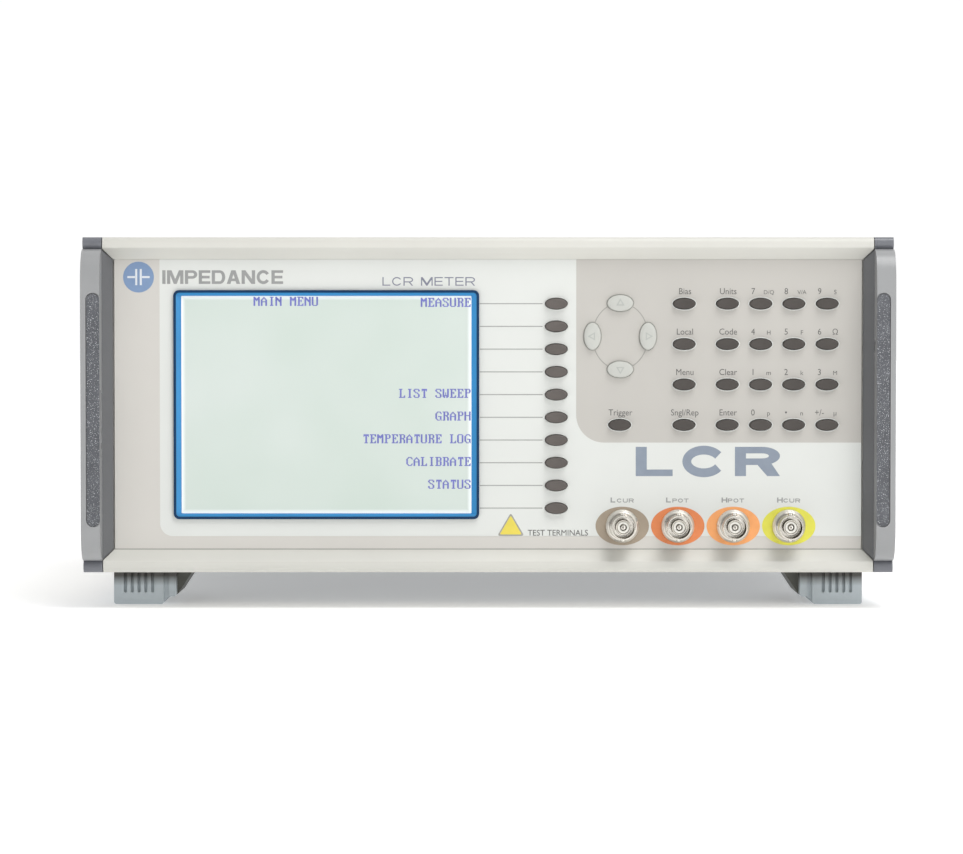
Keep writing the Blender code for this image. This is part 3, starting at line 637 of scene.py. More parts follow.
# Each letter's ten pixel rows, top to bottom, as eight bits a row.
DOT_LETTERS = {
    "A": "10 38 6C C6 C6 FE C6 C6 C6 C6", "B": "FC 66 66 66 7C 66 66 66 66 FC",
    "C": "3C 66 C2 C0 C0 C0 C0 C2 66 3C", "E": "FE 66 62 68 78 68 60 62 66 FE",
    "G": "3C 66 C2 C0 C0 DE C6 C6 66 3A", "H": "C6 C6 C6 C6 FE C6 C6 C6 C6 C6",
    "I": "3C 18 18 18 18 18 18 18 18 3C", "L": "F0 60 60 60 60 60 60 62 66 FE",
    "M": "C6 EE FE FE D6 C6 C6 C6 C6 C6", "N": "C6 E6 F6 FE DE CE C6 C6 C6 C6",
    "O": "7C C6 C6 C6 C6 C6 C6 C6 C6 7C", "P": "FC 66 66 66 7C 60 60 60 60 F0",
    "R": "FC 66 66 66 7C 6C 66 66 66 E6", "S": "7C C6 C6 60 38 0C 06 C6 C6 7C",
    "T": "7E 7E 5A 18 18 18 18 18 18 3C", "U": "C6 C6 C6 C6 C6 C6 C6 C6 C6 7C",
    "W": "C6 C6 C6 C6 D6 D6 D6 FE EE 6C",
}
DOT = 0.36 * MM
CELL = 8 * DOT


def dot_runs(letter):
    """Runs of lit dots in a letter, as (row, first column, column after the last)."""
    runs = []
    for row, byte in enumerate(DOT_LETTERS[letter].split()):
        bits = f"{int(byte, 16):08b}0"
        start = None
        for column, bit in enumerate(bits):
            if bit == "1" and start is None:
                start = column
            elif bit == "0" and start is not None:
                runs.append((row, start, column))
                start = None
    return runs


def dot_words(words, left_x, top_z, near_y):
    """Corner pairs of the lit runs of a line of display text."""
    corners = []
    for index, letter in enumerate(words):
        if letter == " ":
            continue
        for row, start, end in dot_runs(letter):
            x = left_x + index * CELL
            z = top_z - (row + 1) * DOT
            corners.append(((x + start * DOT, near_y, z + 0.03 * DOT),
                            (x + (end - 0.06) * DOT, near_y + INK, z + DOT)))
    return corners


# ---------------------------------------------------------------- front frame and cheeks
OPENING_HALF_X = PANEL_HIGH.x + 0.3 * MM
OPENING_LOW_Z = PANEL_LOW.z - 0.3 * MM
OPENING_HIGH_Z = PANEL_HIGH.z + 0.3 * MM
PANEL_TOP = OPENING_HIGH_Z - 0.03 * MM
BLOCK = 4.7 * MM                  # height of a cheek's flat end block
GRIP_WIDTH = 5.6 * MM
GRIP_LOW_Z = 0.0330
GRIP_HIGH_Z = 0.1250
GRIP_X = 0.15510                  # middle of the grip strip


def build_frame():
    """The frame's ring, and under the panel's lower edge a grey strip in the gap, painted as the
    seam's shade.
    """
    refined("frame_ring", "front_frame", "cream_plastic", 0.45 * MM, segments=3)
    low_z, high_z = OPENING_LOW_Z - 0.1 * MM, OPENING_LOW_Z + 0.35 * MM
    seam = [(-OPENING_HALF_X, low_z), (OPENING_HALF_X, low_z),
            (OPENING_HALF_X, high_z), (-OPENING_HALF_X, high_z)]
    # A grey strip fills the gap: painted shade standing in for the dark seam.
    add("panel_seam_painted_shade", front_plate([seam], PANEL_Y - 0.05 * MM, PANEL_Y + 1.5 * MM),
        "ink_ring")


def cheek_profile():
    """Side view of a cheek: rounded end blocks, a notch, and a middle that swells forward."""
    swell = FRAME_LOW.y - CHEEK_LOW.y
    run = 14 * MM
    steps = 16
    notch = 1.1 * MM
    rise = []
    for step in range(steps + 1):
        angle = math.pi / 2 * step / steps
        rise.append((math.sin(angle) ** 0.8 * (swell + notch) - notch,
                     (1 - math.cos(angle)) * run))
    front = FRAME_LOW.y
    half = BLOCK / 2
    points = [(CHEEK_HIGH.y, CHEEK_LOW.z)]
    points += arc((front + 1.7 * MM, CHEEK_LOW.z + half), (1.7 * MM, half), -math.pi / 2,
                  -math.pi * 1.22, 10)
    points += [(front - out, CHEEK_LOW.z + BLOCK + along) for out, along in rise]
    points += [(front - out, CHEEK_HIGH.z - BLOCK - along) for out, along in reversed(rise)]
    points += arc((front + 1.7 * MM, CHEEK_HIGH.z - half), (1.7 * MM, half),
                  math.pi * 1.22, math.pi / 2, 10)
    points += [(CHEEK_HIGH.y, CHEEK_HIGH.z)]
    return points


def flank(side):
    """The 45 degree strip between cheek and panel, mitred where it meets the bars."""
    inner = OPENING_HALF_X + 0.3 * MM
    outer = FRAME_HIGH.x + 0.25 * MM
    depth = OPENING_HALF_X + (PANEL_Y - FRAME_LOW.y) - 0.2 * MM
    seat = PANEL_Y + 0.95 * MM
    section = [(inner, seat), (inner, PANEL_Y - 0.1 * MM), (depth, FRAME_LOW.y + 0.2 * MM),
               (outer, FRAME_LOW.y + 0.2 * MM), (outer, seat)]
    mesh = slab([section], 0.16)
    mesh.transform(Matrix.Translation((0, 0, (OPENING_LOW_Z + OPENING_HIGH_Z) / 2)))
    shape = bmesh.new()
    shape.from_mesh(mesh)
    mitre = 0.5 * MM
    for edge_z, way in ((OPENING_HIGH_Z - mitre, 1), (OPENING_LOW_Z + mitre, -1)):
        cut = bmesh.ops.bisect_plane(
            shape, geom=shape.verts[:] + shape.edges[:] + shape.faces[:],
            plane_co=(OPENING_HALF_X, 0, edge_z), plane_no=(-1, 0, way), clear_outer=True)
        edges = [item for item in cut["geom_cut"] if isinstance(item, bmesh.types.BMEdge)]
        bmesh.ops.edgeloop_fill(shape, edges=edges)
    shape.to_mesh(mesh)
    shape.free()
    mesh.transform(Matrix.Diagonal((side, 1, 1, 1)))
    return tidy(mesh)


def build_cheeks():
    """Each cheek with its flank, and the grip strip in a slot down its front."""
    middle_z = (GRIP_LOW_Z + GRIP_HIGH_Z) / 2
    tall = GRIP_HIGH_Z - GRIP_LOW_Z
    strip_width = GRIP_WIDTH - 0.5 * MM
    depth_y = CHEEK_LOW.y + 1.1 * MM
    for side, node in ((-1, "handle_left"), (1, "handle_right")):
        word = node[7:]
        middle = (side * GRIP_X, middle_z)
        edges = sorted((side * (FRAME_HIGH.x + 0.3 * MM), side * CHEEK_HIGH.x))
        cheek = add("cheek_" + word, side_plate([cheek_profile()], *edges), "cheek_plastic")
        slot_outline = rectangle(middle, (GRIP_WIDTH, tall), GRIP_WIDTH / 2.05)
        combine(cheek, front_plate([slot_outline], CHEEK_LOW.y - 2 * MM, depth_y),
                "DIFFERENCE")
        soften(cheek, 0.7 * MM, 3, 28)
        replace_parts(cheek, node)
        soften(add("flank_" + word, flank(side), "flank_plastic"), 0.25 * MM, 2)
        strip = rectangle(middle, (strip_width, tall - 0.5 * MM), strip_width / 2.05)
        grip = front_plate([strip], CHEEK_LOW.y + 0.45 * MM, depth_y - 0.02 * MM)
        soften(add("grip_" + word, grip, "grip_rubber"), 0.35 * MM, 3, 40)


# ---------------------------------------------------------------- panel and printed film
def key_holes(nodes):
    """Holes a little wider than the keys' caps."""
    holes = []
    for node in nodes:
        width, height = cap_size(node)
        margin = 0.13 * MM if node in ARROWS else 0.28 * MM
        holes.append(ellipse(centre_of(node), (width + 2 * margin, height + 2 * margin)))
    return holes


def port_holes():
    """A round hole for each test port."""
    return [ellipse(centre_of(node), PORT_HOLE, 40) for node in PORTS]


def corner_area(edge_x, edge_z, radius, steps):
    """The panel's upper right part, whose lower left corner is round."""
    corner = arc((edge_x + radius, edge_z + radius), radius, math.pi, 1.5 * math.pi, steps)
    return [(PANEL_HIGH.x, PANEL_TOP), (edge_x, PANEL_TOP)] + corner + [(PANEL_HIGH.x, edge_z)]


def build_panel():
    """The panel's plate, the two films on it, and the port ovals."""
    low, high = PANEL_LOW, PANEL_HIGH
    outline = [(low.x, low.z), (high.x, low.z), (high.x, PANEL_TOP), (low.x, PANEL_TOP)]
    window = rectangle(SCREEN_CENTRE, (SCREEN_SIZE[0] + 0.4 * MM, SCREEN_SIZE[1] + 0.4 * MM))
    holes = [window] + key_holes(SOFTKEYS + ARROWS + PAD_KEYS) + port_holes()
    plate = add("panel_plate", front_plate([outline] + holes, PANEL_Y, high.y), "film_base")
    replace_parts(plate, "front_panel")
    light = corner_area(LIGHT_EDGE_X, LIGHT_EDGE_Z, LIGHT_CORNER, 12)
    add("panel_film_light", front_plate([light] + holes, LIGHT_FACE, PANEL_Y - 0.002 * MM),
        "film_light")
    pad = corner_area(PAD_EDGE_X, PAD_EDGE_Z, PAD_CORNER, 16)
    add("panel_film_keypad", front_plate(
        [pad] + key_holes(ARROWS + PAD_KEYS), PAD_FACE, PANEL_Y - FILM * 0.62), "film_keypad")
    for node, hole, colour in zip(PORTS, port_holes(), ("taupe", "red", "orange", "yellow")):
        oval = ellipse(centre_of(node), OVAL_SIZE, 64)
        add("oval_" + node[5:], ink_plate([oval, hole], PAD_FACE), "ink_" + colour)


def rim(centre, size, thick):
    """A half-round lip round a key's hole, lying on the film."""
    steps, sides = 64, 6
    mesh = bpy.data.meshes.new("rim")
    shape = bmesh.new()
    rings = []
    for step in range(steps):
        angle = 2 * math.pi * step / steps
        out_x, out_z = math.cos(angle), math.sin(angle)
        ring = []
        for side in range(sides + 1):
            turn = math.pi * side / sides
            reach = -math.cos(turn) * thick
            ring.append(shape.verts.new((centre[0] + out_x * (size[0] / 2 + reach),
                                         PANEL_Y - FILM * 0.7 - math.sin(turn) * thick * 0.8,
                                         centre[1] + out_z * (size[1] / 2 + reach))))
        rings.append(ring)
    for index, ring in enumerate(rings):
        after = rings[(index + 1) % steps]
        for side in range(sides):
            shape.faces.new((ring[side], ring[side + 1], after[side + 1], after[side]))
        shape.faces.new((ring[sides], ring[0], after[0], after[sides]))
    bmesh.ops.recalc_face_normals(shape, faces=shape.faces[:])
    shape.to_mesh(mesh)
    shape.free()
    return smooth(mesh, 60)


def build_rims():
    """Moulded lips round the holes of each group of keys."""
    for name, nodes, skin, thick, wider in (
            ("softkey_rims", SOFTKEYS, "film_light", 0.22 * MM, 0.8 * MM),
            ("keypad_rims", PAD_KEYS, "film_light", 0.22 * MM, 0.8 * MM),
            ("arrow_rims", ARROWS, "ink_soft", 0.16 * MM, 0.5 * MM)):
        rims = []
        for node in nodes:
            width, height = cap_size(node)
            rims.append(rim(centre_of(node), (width + wider, height + wider), thick))
        add(name, joined(rims), skin)


# ---------------------------------------------------------------- screen
def build_screen():
    """The bezel's edge, its blue painted dark navy as shade, its azure slope, the lit panel in
    it, and the module's shell.
    """
    front = BEZEL_LOW.y
    size = (BEZEL_HIGH.x - BEZEL_LOW.x, BEZEL_HIGH.z - BEZEL_LOW.z)
    edge = 1.0 * MM
    inner = (size[0] - 2 * edge, size[1] - 2 * edge)
    opening = (SCREEN_SIZE[0] - 0.2 * MM, SCREEN_SIZE[1] - 0.2 * MM)
    inner_outline = rectangle(SCREEN_CENTRE, inner, 1.4 * MM)
    # The edge's navy is painted shade on the bezel's chamfer.
    ring = add("bezel_edge", front_plate([rectangle(SCREEN_CENTRE, size, 2.2 * MM),
                                          inner_outline], front + 0.1 * MM, PAD_FACE),
               "bezel_navy")
    soften(ring, 0.3 * MM, 3)
    slope = add("bezel_face", front_plate([inner_outline,
                                           rectangle(SCREEN_CENTRE, opening, 0.4 * MM)],
                                          front + 0.35 * MM, PAD_FACE), "bezel_azure")
    for vertex in slope.data.vertices:
        inside = (abs(vertex.co.x - SCREEN_CENTRE[0]) < opening[0] / 2 + 0.1 * MM
                  and abs(vertex.co.z - SCREEN_CENTRE[1]) < opening[1] / 2 + 0.1 * MM)
        if inside and vertex.co.y < front + 0.5 * MM:
            vertex.co.y = PAD_FACE - 0.1 * MM
    soften(slope, 0.2 * MM, 2)
    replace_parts(ring, "screen_bezel")
    glass = (SCREEN_SIZE[0] - 0.1 * MM, SCREEN_SIZE[1] - 0.1 * MM)
    glass_y = PANEL_Y - 0.45 * MM
    face = add("display_panel", front_plate([rectangle(SCREEN_CENTRE, glass, 0.3 * MM)],
                                            glass_y, PANEL_Y + 1.5 * MM), "display_face")
    back = boxes([((MODULE_LOW.x, PANEL_HIGH.y + 0.3 * MM, MODULE_LOW.z), tuple(MODULE_HIGH))])
    soften(add("display_shell", back, "plated_sheet"), 0.5 * MM, 2)
    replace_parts(face, "display_module")
    build_display_text(glass_y - INK)


SCREEN_DOTS = 320                 # dots across the screen
# Row of the softkey that each function belongs to, from 0.
MENU = ((0, "MEASURE"), (4, "LIST SWEEP"), (5, "GRAPH"), (6, "TEMPERATURE LOG"),
        (7, "CALIBRATE"), (8, "STATUS"))


def build_display_text(near_y):
    """Title in the middle, and the names of the softkeys' functions at the right."""
    left = SCREEN_CENTRE[0] - SCREEN_DOTS / 2 * DOT
    right = SCREEN_CENTRE[0] + SCREEN_DOTS / 2 * DOT
    corners = dot_words("MAIN MENU", left + 10 * CELL, line_top(0) + 0.4 * MM, near_y)
    for key, words in MENU:
        start = right - len(words) * CELL - 0.1 * MM
        corners += dot_words(words, start, line_top(key), near_y)
    add("display_text", boxes(corners), "display_pixels")


def line_top(key):
    """Top of the text line that belongs to a softkey, counted from 0."""
    return centre_of(SOFTKEYS[key])[1] + 2.3 * MM


# ---------------------------------------------------------------- keys
def build_keys():
    """Every key's cap; the number sinks the middle of its face, and a negative one domes it."""
    for nodes, skin, dish in ((SOFTKEYS, "softkey_rubber", 0.22 * MM),
                              (PAD_KEYS, "key_rubber", 0.22 * MM),
                              (ARROWS, "arrow_rubber", -0.45 * MM)):
        for node in nodes:
            build_key(node, skin, dish)


def build_key(node, skin, dish):
    """A rounded oval cap; dish sinks the middle of its face, and a negative one domes it."""
    low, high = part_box(node)
    width, height = cap_size(node)
    half = width / 2
    top = PANEL_Y - low.y
    fillet = 0.55 * MM
    back = -(high.y - PANEL_Y)
    profile = [(0, top - max(dish, 0))]
    profile += [(half * share, top - max(dish, 0) * math.cos(share * math.pi / 2 / 0.8)
                 + min(dish, 0) * share ** 2) for share in (0.2, 0.4, 0.6, 0.74)]
    shoulder = top + min(dish, 0)
    profile += [(half - fillet + reach, shoulder - fillet + rise)
                for reach, rise in arc((0, 0), fillet, math.pi / 2, 0, 5)]
    profile += [(half, -2.2 * MM), (half * FLANGE_RATIO, -2.3 * MM),
                (half * FLANGE_RATIO, back), (0, back)]
    mesh = on_panel(turned(profile, 56, stretch=height / width), centre_of(node))
    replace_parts(add(node + "_cap", mesh, skin, node), node)


def build_arrow_marks():
    """A small moulded outline of a triangle on each cursor key, pointing its way."""
    def triangle(size, turn):
        angles = [math.radians(90 + turn + 120 * corner) for corner in range(3)]
        return [(math.cos(angle) * size, math.sin(angle) * size) for angle in angles]

    for node, turn in (("arrow_up", 0), ("arrow_left", 90), ("arrow_down", 180),
                       ("arrow_right", 270)):
        mesh = slab([triangle(1.9 * MM, turn), triangle(1.0 * MM, turn)], 0.3 * MM)
        on_panel(mesh, centre_of(node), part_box(node)[0].y + 0.15 * MM)
        add(node + "_mark", mesh, "ink_mark", node)


# ---------------------------------------------------------------- printing
LEGENDS = {
    "key_bias": "Bias", "key_units": "Units", "key_local": "Local", "key_code": "Code",
    "key_menu": "Menu", "key_clear": "Clear", "key_single": "Sngl/Rep", "key_enter": "Enter",
    "key_trigger": "Trigger",
}
SHIFTED = {
    "key_7": ("7", "D/Q", 2.3), "key_8": ("8", "V/A", 2.3), "key_9": ("9", "S", 2.5),
    "key_4": ("4", "H", 2.4), "key_5": ("5", "F", 2.5), "key_6": ("6", "Ω", 3.2),
    "key_1": ("1", "m", 2.7), "key_2": ("2", "k", 2.6), "key_3": ("3", "M", 2.4),
    "key_0": ("0", "p", 2.7), "key_point": ("•", "n", 2.7), "key_sign": ("+/-", "µ", 2.9),
}


def build_legends():
    """A word above each key, or a digit with its second meaning."""
    size, rise = 3.5 * MM, 3.75 * MM
    words = []
    for node, legend in LEGENDS.items():
        x, z = centre_of(node)
        words.append(text_mesh(legend, size, (x + 0.3 * MM, z + rise), widen=0.92))
    for node, (digit, unit, unit_size) in SHIFTED.items():
        x, z = centre_of(node)
        words.append(text_mesh(digit, size, (x - 3.0 * MM, z + rise), widen=0.92))
        words.append(text_mesh(unit, unit_size * MM, (x + 3.2 * MM, z + rise)))
    add("key_legends", joined(words), "ink_fine")


# Piece, words, left and base (m), then height, width ratio, stem, bar and gap (mm), skin.
TITLES = (
    ("title_word", "IMPEDANCE", -0.1289, 0.1286, 5.4, 0.99, 1.30, 1.05, 0.56, "ink_grey"),
    ("title_type", "LCR METER", -0.0418, 0.1279, 3.4, 1.12, 0.48, 0.42, 0.70, "ink_title"),
    ("title_large", "LCR", 0.0585, 0.0525, 11.6, 1.54, 4.4, 2.6, 3.4, "ink_big"),
)
BADGE_CENTRE = (-0.1383, 0.1313)
BADGE_SIZE = (12.2 * MM, 12.2 * MM)


def build_titles():
    """The large printed words."""
    for name, *layout, skin in TITLES:
        add(name, drawn_words(*layout), skin)


def build_badge():
    """A plain disc with the symbol of a capacitor."""
    x, z = BADGE_CENTRE
    y = PANEL_Y - 0.02 * MM
    add("badge_disc", ink_plate([ellipse((x, z), BADGE_SIZE, 64)], y), "ink_badge")
    plates = []
    for side in (-1, 1):
        for bar in (rectangle((x + side * 0.9 * MM, z), (0.8 * MM, 6.4 * MM)),
                    rectangle((x + side * 2.9 * MM, z), (3.0 * MM, 0.8 * MM))):
            plates.append(front_plate([bar], y - 2.2 * INK, y - INK))
    add("badge_symbol", joined(plates), "ink_white")


def build_lines():
    """Leader lines from the screen to the softkeys, and the ring through the cursor keys."""
    thick = 0.40 * MM
    start_x = BEZEL_HIGH.x + 0.2 * MM
    plates = []
    for node in SOFTKEYS:
        end_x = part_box(node)[0].x - 0.1 * MM
        middle = ((start_x + end_x) / 2, centre_of(node)[1])
        plates.append(ink_plate([rectangle(middle, (end_x - start_x, thick))]))
    add("softkey_lines", joined(plates), "ink_line")

    centre = (centre_of("arrow_up")[0], centre_of("arrow_left")[1])
    reach = (centre_of("arrow_right")[0] - centre[0], centre_of("arrow_up")[1] - centre[1])
    arcs = []
    for quarter in range(4):
        start = quarter * math.pi / 2
        clear = (0.46, 0.41) if quarter % 2 else (0.41, 0.46)
        first, last = start + clear[0], start + math.pi / 2 - clear[1]
        outer = arc(centre, (reach[0] + thick / 2, reach[1] + thick / 2), first, last, 16)
        inner = arc(centre, (reach[0] - thick / 2, reach[1] - thick / 2), last, first, 16)
        arcs.append(ink_plate([outer + inner], PAD_FACE))
    add("cursor_ring", joined(arcs), "ink_ring")


def build_port_labels():
    """Each port's terminal: a tall first letter, then small capitals."""
    words = []
    z = centre_of(PORTS[0])[1] + 9.3 * MM
    for node, big, rest in zip(PORTS, "LLHH", ("CUR", "POT", "POT", "CUR")):
        x = centre_of(node)[0]
        words += [drawn_words(big, x - 4.65 * MM, z, 2.0, 1.15, 0.55, 0.45, 0),
                  drawn_words(rest, x - 2.15 * MM, z, 1.6, 1.24, 0.38, 0.32, 0.38)]
    add("port_labels", joined(words), "ink_grey")


def build_caution():
    """A plain yellow triangle with a rounded grey outline, and two generic words."""
    centre = (0.0090, 0.0319)
    half, height = 5.3 * MM, 9.4 * MM

    def triangle(scale, radius):
        tips = ((0, height * 0.64), (-half, -height * 0.33), (half, -height * 0.33))
        points = []
        for index, (tip_x, tip_z) in enumerate(tips):
            length = math.hypot(tip_x, tip_z)
            pull = radius * 1.9
            middle = (centre[0] + tip_x * scale * (1 - pull / length),
                      centre[1] + tip_z * scale * (1 - pull / length))
            heading = math.radians(90 + 120 * index)
            points += arc(middle, radius, heading - math.pi / 3, heading + math.pi / 3, 6)
        return points

    y = LIGHT_FACE
    add("caution_edge", ink_plate([triangle(1.0, 0.55 * MM)]), "ink_ring")
    add("caution_face", front_plate([triangle(0.80, 0.4 * MM)], y - 2.2 * INK, y - INK),
        "ink_caution")
    add("caution_words", text_mesh("TEST TERMINALS", 3.3 * MM, (0.0157, 0.0289), "LEFT",
                                   0.96), "ink_fine")


# ---------------------------------------------------------------- test ports
def build_port(node):
    """A coaxial socket: flange, barrel with two lugs, spring sleeve, insulator, contact."""
    low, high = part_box(node)
    tip, back = (PANEL_Y - low.y) / MM, (PANEL_Y - high.y) / MM
    centre = centre_of(node)
    barrel = turned(metres(
        (0, 3.2), (4.25, 3.2), (4.25, tip - 0.2), (4.4, tip), (4.6, tip), (4.8, tip - 0.2),
        (4.8, 4.4), (4.55, 4.2), (4.55, 3.4), (5.0, 3.2), (5.0, 1.0), (4.75, 0.8),
        (4.75, -2.3), (6.9, -2.3), (6.9, -4.6), (3.4, -4.8), (3.4, back), (0, back)), 64)
    lugs = []
    for side in (-1, 1):
        stud = turned(metres((0, 0.75), (0.8, 0.75), (1.0, 0.55), (1.0, -0.6), (0, -0.6)), 20)
        stud.transform(Matrix.Translation((0, side * 4.9 * MM, 7.6 * MM))
                       @ Matrix.Rotation(-side * math.pi / 2, 4, "X"))
        lugs.append(stud)
    shell = add(node + "_barrel", on_panel(joined([barrel] + lugs), centre), "nickel")
    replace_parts(shell, node)
    for part, skin, segments, points in (
            ("flange", "flange_nickel", 64,
             ((5.05, 2.3), (5.4, 2.45), (5.75, 2.3), (6.0, 1.75), (6.35, 1.55), (6.6, 1.1),
              (6.6, 0.08), (5.05, 0.08), (5.05, 2.3))),
            ("sleeve", "nickel", 48,
             ((2.5, tip - 1.6), (2.65, tip - 1.4), (2.9, tip - 1.4), (3.05, tip - 1.6),
              (3.05, 3.25), (2.5, 3.25), (2.5, tip - 1.6))),
            ("insulator", "insulator", 48,
             ((1.4, tip - 2.2), (1.55, tip - 2.0), (2.25, tip - 2.0), (2.4, tip - 2.2),
              (2.4, 3.25), (1.4, 3.25), (1.4, tip - 2.2))),
            ("contact", "contact_silver", 28,
             ((0, tip - 4.2), (0.3, tip - 4.2), (0.3, tip - 2.4), (0.45, tip - 2.1),
              (0.8, tip - 2.15), (0.95, tip - 2.5), (0.95, 3.25), (0, 3.25)))):
        add(f"{node}_{part}", on_panel(turned(metres(*points), segments), centre), skin)


# ---------------------------------------------------------------- feet and tilt legs
RIB_SECTION = (0.1256, 0.1286)    # inner rib, measured from the middle of the instrument
BLOCK_IN_X = 0.1305
GROOVE_FIRST_X = 0.1459
GROOVE_PITCH = 2.74 * MM
GROOVE_LOW_Z = 4.7 * MM


def build_front_feet():
    """Each front foot with its tilt leg."""
    for side, word in ((-1, "left"), (1, "right")):
        build_front_foot(side, "front_foot_" + word, "tilt_leg_" + word)
        refined(f"tilt_leg_{word}_bar", "tilt_leg_" + word, "foot_plastic", 0.6 * MM,
                "tilt_leg_" + word, 3)
        add_leg_ridges("tilt_leg_" + word)


def build_front_foot(side, node, leg):
    """A grooved block, and beside it a rib and a sloping web, all hollowed for the leg."""
    low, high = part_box(node)
    inner, outer = sorted((abs(low.x), abs(high.x)))
    top = high.z
    web_y = low.y + 7.0 * MM
    rib_in, rib_out = RIB_SECTION
    shared_x = BLOCK_IN_X + 1 * MM

    def plate(points, near_y, far_y):
        placed = points if side > 0 else [(-x, z) for x, z in reversed(points)]
        return front_plate([placed], near_y, far_y)

    block = rectangle(((BLOCK_IN_X + outer) / 2, top / 2), (outer - BLOCK_IN_X, top),
                      1.0 * MM, 4)
    foot = add(node + "_body", plate(block, low.y, high.y), "front_foot_plastic")
    soften(foot, 0.3 * MM, harden=False)
    link_top = top - 0.4 * MM
    link = [(shared_x, link_top), (rib_out - 0.4 * MM, link_top),
            (rib_out - 0.4 * MM, 3.2 * MM), (shared_x, 0.7 * MM)]
    combine(foot, plate(link, low.y + 1.6 * MM, web_y + 1 * MM), "UNION")
    rib = [(rib_out, top), (rib_in, top), (rib_in, 3.5 * MM), (rib_in + 0.6 * MM, 3.0 * MM),
           (rib_out - 0.6 * MM, 3.0 * MM), (rib_out, 3.5 * MM)]
    combine(foot, plate(rib, low.y + 0.8 * MM, high.y), "UNION")
    half = 0.62 * MM
    grooves = []
    for index in range(5):
        x = side * (GROOVE_FIRST_X - GROOVE_PITCH * index)
        outline = [(x + half, top + 1 * MM), (x - half, top + 1 * MM)]
        outline += arc((x, GROOVE_LOW_Z + half), half, math.pi, 2 * math.pi, 8)
        grooves.append(front_plate([outline], low.y - 1 * MM, low.y + 1.6 * MM))
    combine(foot, joined(grooves), "DIFFERENCE")

    slope = [(shared_x, top), (inner, top), (rib_in, 3.4 * MM), (rib_out, 3.1 * MM),
             (shared_x, 0.9 * MM)]
    # The web's dark grey is painted shade, for the shadow it sits in under the case.
    web = add(node + "_web", plate(slope, web_y, high.y - 0.3 * MM), "foot_web_plastic")
    leg_low, leg_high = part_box(leg)
    clear = 0.7 * MM
    for piece in (foot, web):
        combine(piece, boxes([((leg_low.x - clear, leg_low.y - 1.2 * MM, -1 * MM),
                               (leg_high.x + clear, high.y + 1 * MM, leg_high.z + clear))]),
                "DIFFERENCE")
        smooth(tidy(piece.data), 30)
    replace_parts(foot, node)


def add_leg_ridges(leg):
    """Three grip ridges across the free end of a tilt leg, on its outer face."""
    low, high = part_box(leg)
    ridges = []
    for index in range(3):
        y = high.y - (5.5 + 2.2 * index) * MM
        ridges.append(((low.x + 2 * MM, y, low.z - 0.25 * MM),
                       (high.x - 2 * MM, y + 0.9 * MM, low.z + 0.6 * MM)))
    soften(add(leg + "_ridges", boxes(ridges), "foot_plastic", leg), 0.2 * MM, 2)


def build_rear_feet():
    """Each rear foot's post, with two screws in its back."""
    for word in ("left", "right"):
        node = "rear_foot_" + word
        refined(node + "_post", node, "foot_plastic", 0.8 * MM, segments=3)
        low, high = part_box(node)
        for index, z in enumerate((0.034, 0.118)):
            add_screw(f"{node}_screw_{index + 1}", rearward((low.x + high.x) / 2, high.y, z))


def rearward(x, y, z):
    """The place of a piece drawn round local Z that points to the rear."""
    return Matrix.Translation((x, y, z)) @ Matrix.Rotation(-math.pi / 2, 4, "X")


def add_screw(name, place, radius=3.0 * MM, turn=0.3):
    """A cross-head screw; place stands it on a face, its local Z pointing out."""
    head = turned([(0, 1.1 * MM), (radius * 0.35, 1.08 * MM), (radius * 0.75, 0.8 * MM),
                   (radius, 0.15 * MM), (radius, -0.6 * MM), (0, -0.6 * MM)], 32)
    head.transform(place)
    screw = add(name, head, "screw_steel")
    reach, half, deep, tall = radius * 0.55, 0.35 * MM, 0.35 * MM, 2.0 * MM
    arm = [(reach, -half), (reach, half), (half, half)]
    cross = [(x * cos - y * sin, x * sin + y * cos)
             for cos, sin in ((1, 0), (0, 1), (-1, 0), (0, -1)) for x, y in arm]
    cutter = slab([cross], tall)
    cutter.transform(place @ Matrix.Translation((0, 0, deep + tall / 2))
                     @ Matrix.Rotation(turn, 4, "Z"))
    combine(screw, cutter, "DIFFERENCE")
    smooth(screw.data, 40)


# ---------------------------------------------------------------- case
def paint_node(node, skin):
    """Give a CAD node that stays visible its detailed material."""
    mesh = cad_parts[node].data
    for index in range(len(mesh.materials)):
        mesh.materials[index] = SKINS[skin]


def build_case():
    """Cover, rear panel and tray, and what is fixed to them and inside them."""
    refined("cover_shell", "top_cover", "cover_paint", 0.25 * MM)
    paint_node("rear_panel", "cover_paint")
    refined("chassis_tray", "bottom_chassis", "plated_sheet", 0.25 * MM)
    build_side_screws()
    build_boards()
    build_rear()


def build_side_screws():
    """Two screws low on each side of the cover."""
    for side, word in ((-1, "left"), (1, "right")):
        outward = Matrix.Rotation(side * math.pi / 2, 4, "Y")
        for index, y in enumerate((-0.1130, 0.1500)):
            add_screw(f"cover_screw_{word}_{index + 1}",
                      Matrix.Translation((side * COVER_HIGH.x, y, 0.0300)) @ outward, turn=0.4)


# Place (m) and size (mm) of the tall parts on the main board, then of the flat ones.
CAPACITORS = ((0.105, 0.090, 6.0, 22.0), (0.120, 0.090, 6.0, 22.0), (0.120, 0.070, 5.0, 16.0),
              (-0.115, 0.060, 4.0, 12.0), (-0.120, 0.030, 4.0, 12.0))
CHIPS = ((-0.060, 0.000, 24, 24), (-0.020, 0.010, 14, 10), (0.010, -0.030, 20, 20),
         (-0.080, -0.050, 10, 22), (0.050, 0.030, 14, 8), (0.055, -0.060, 18, 9))


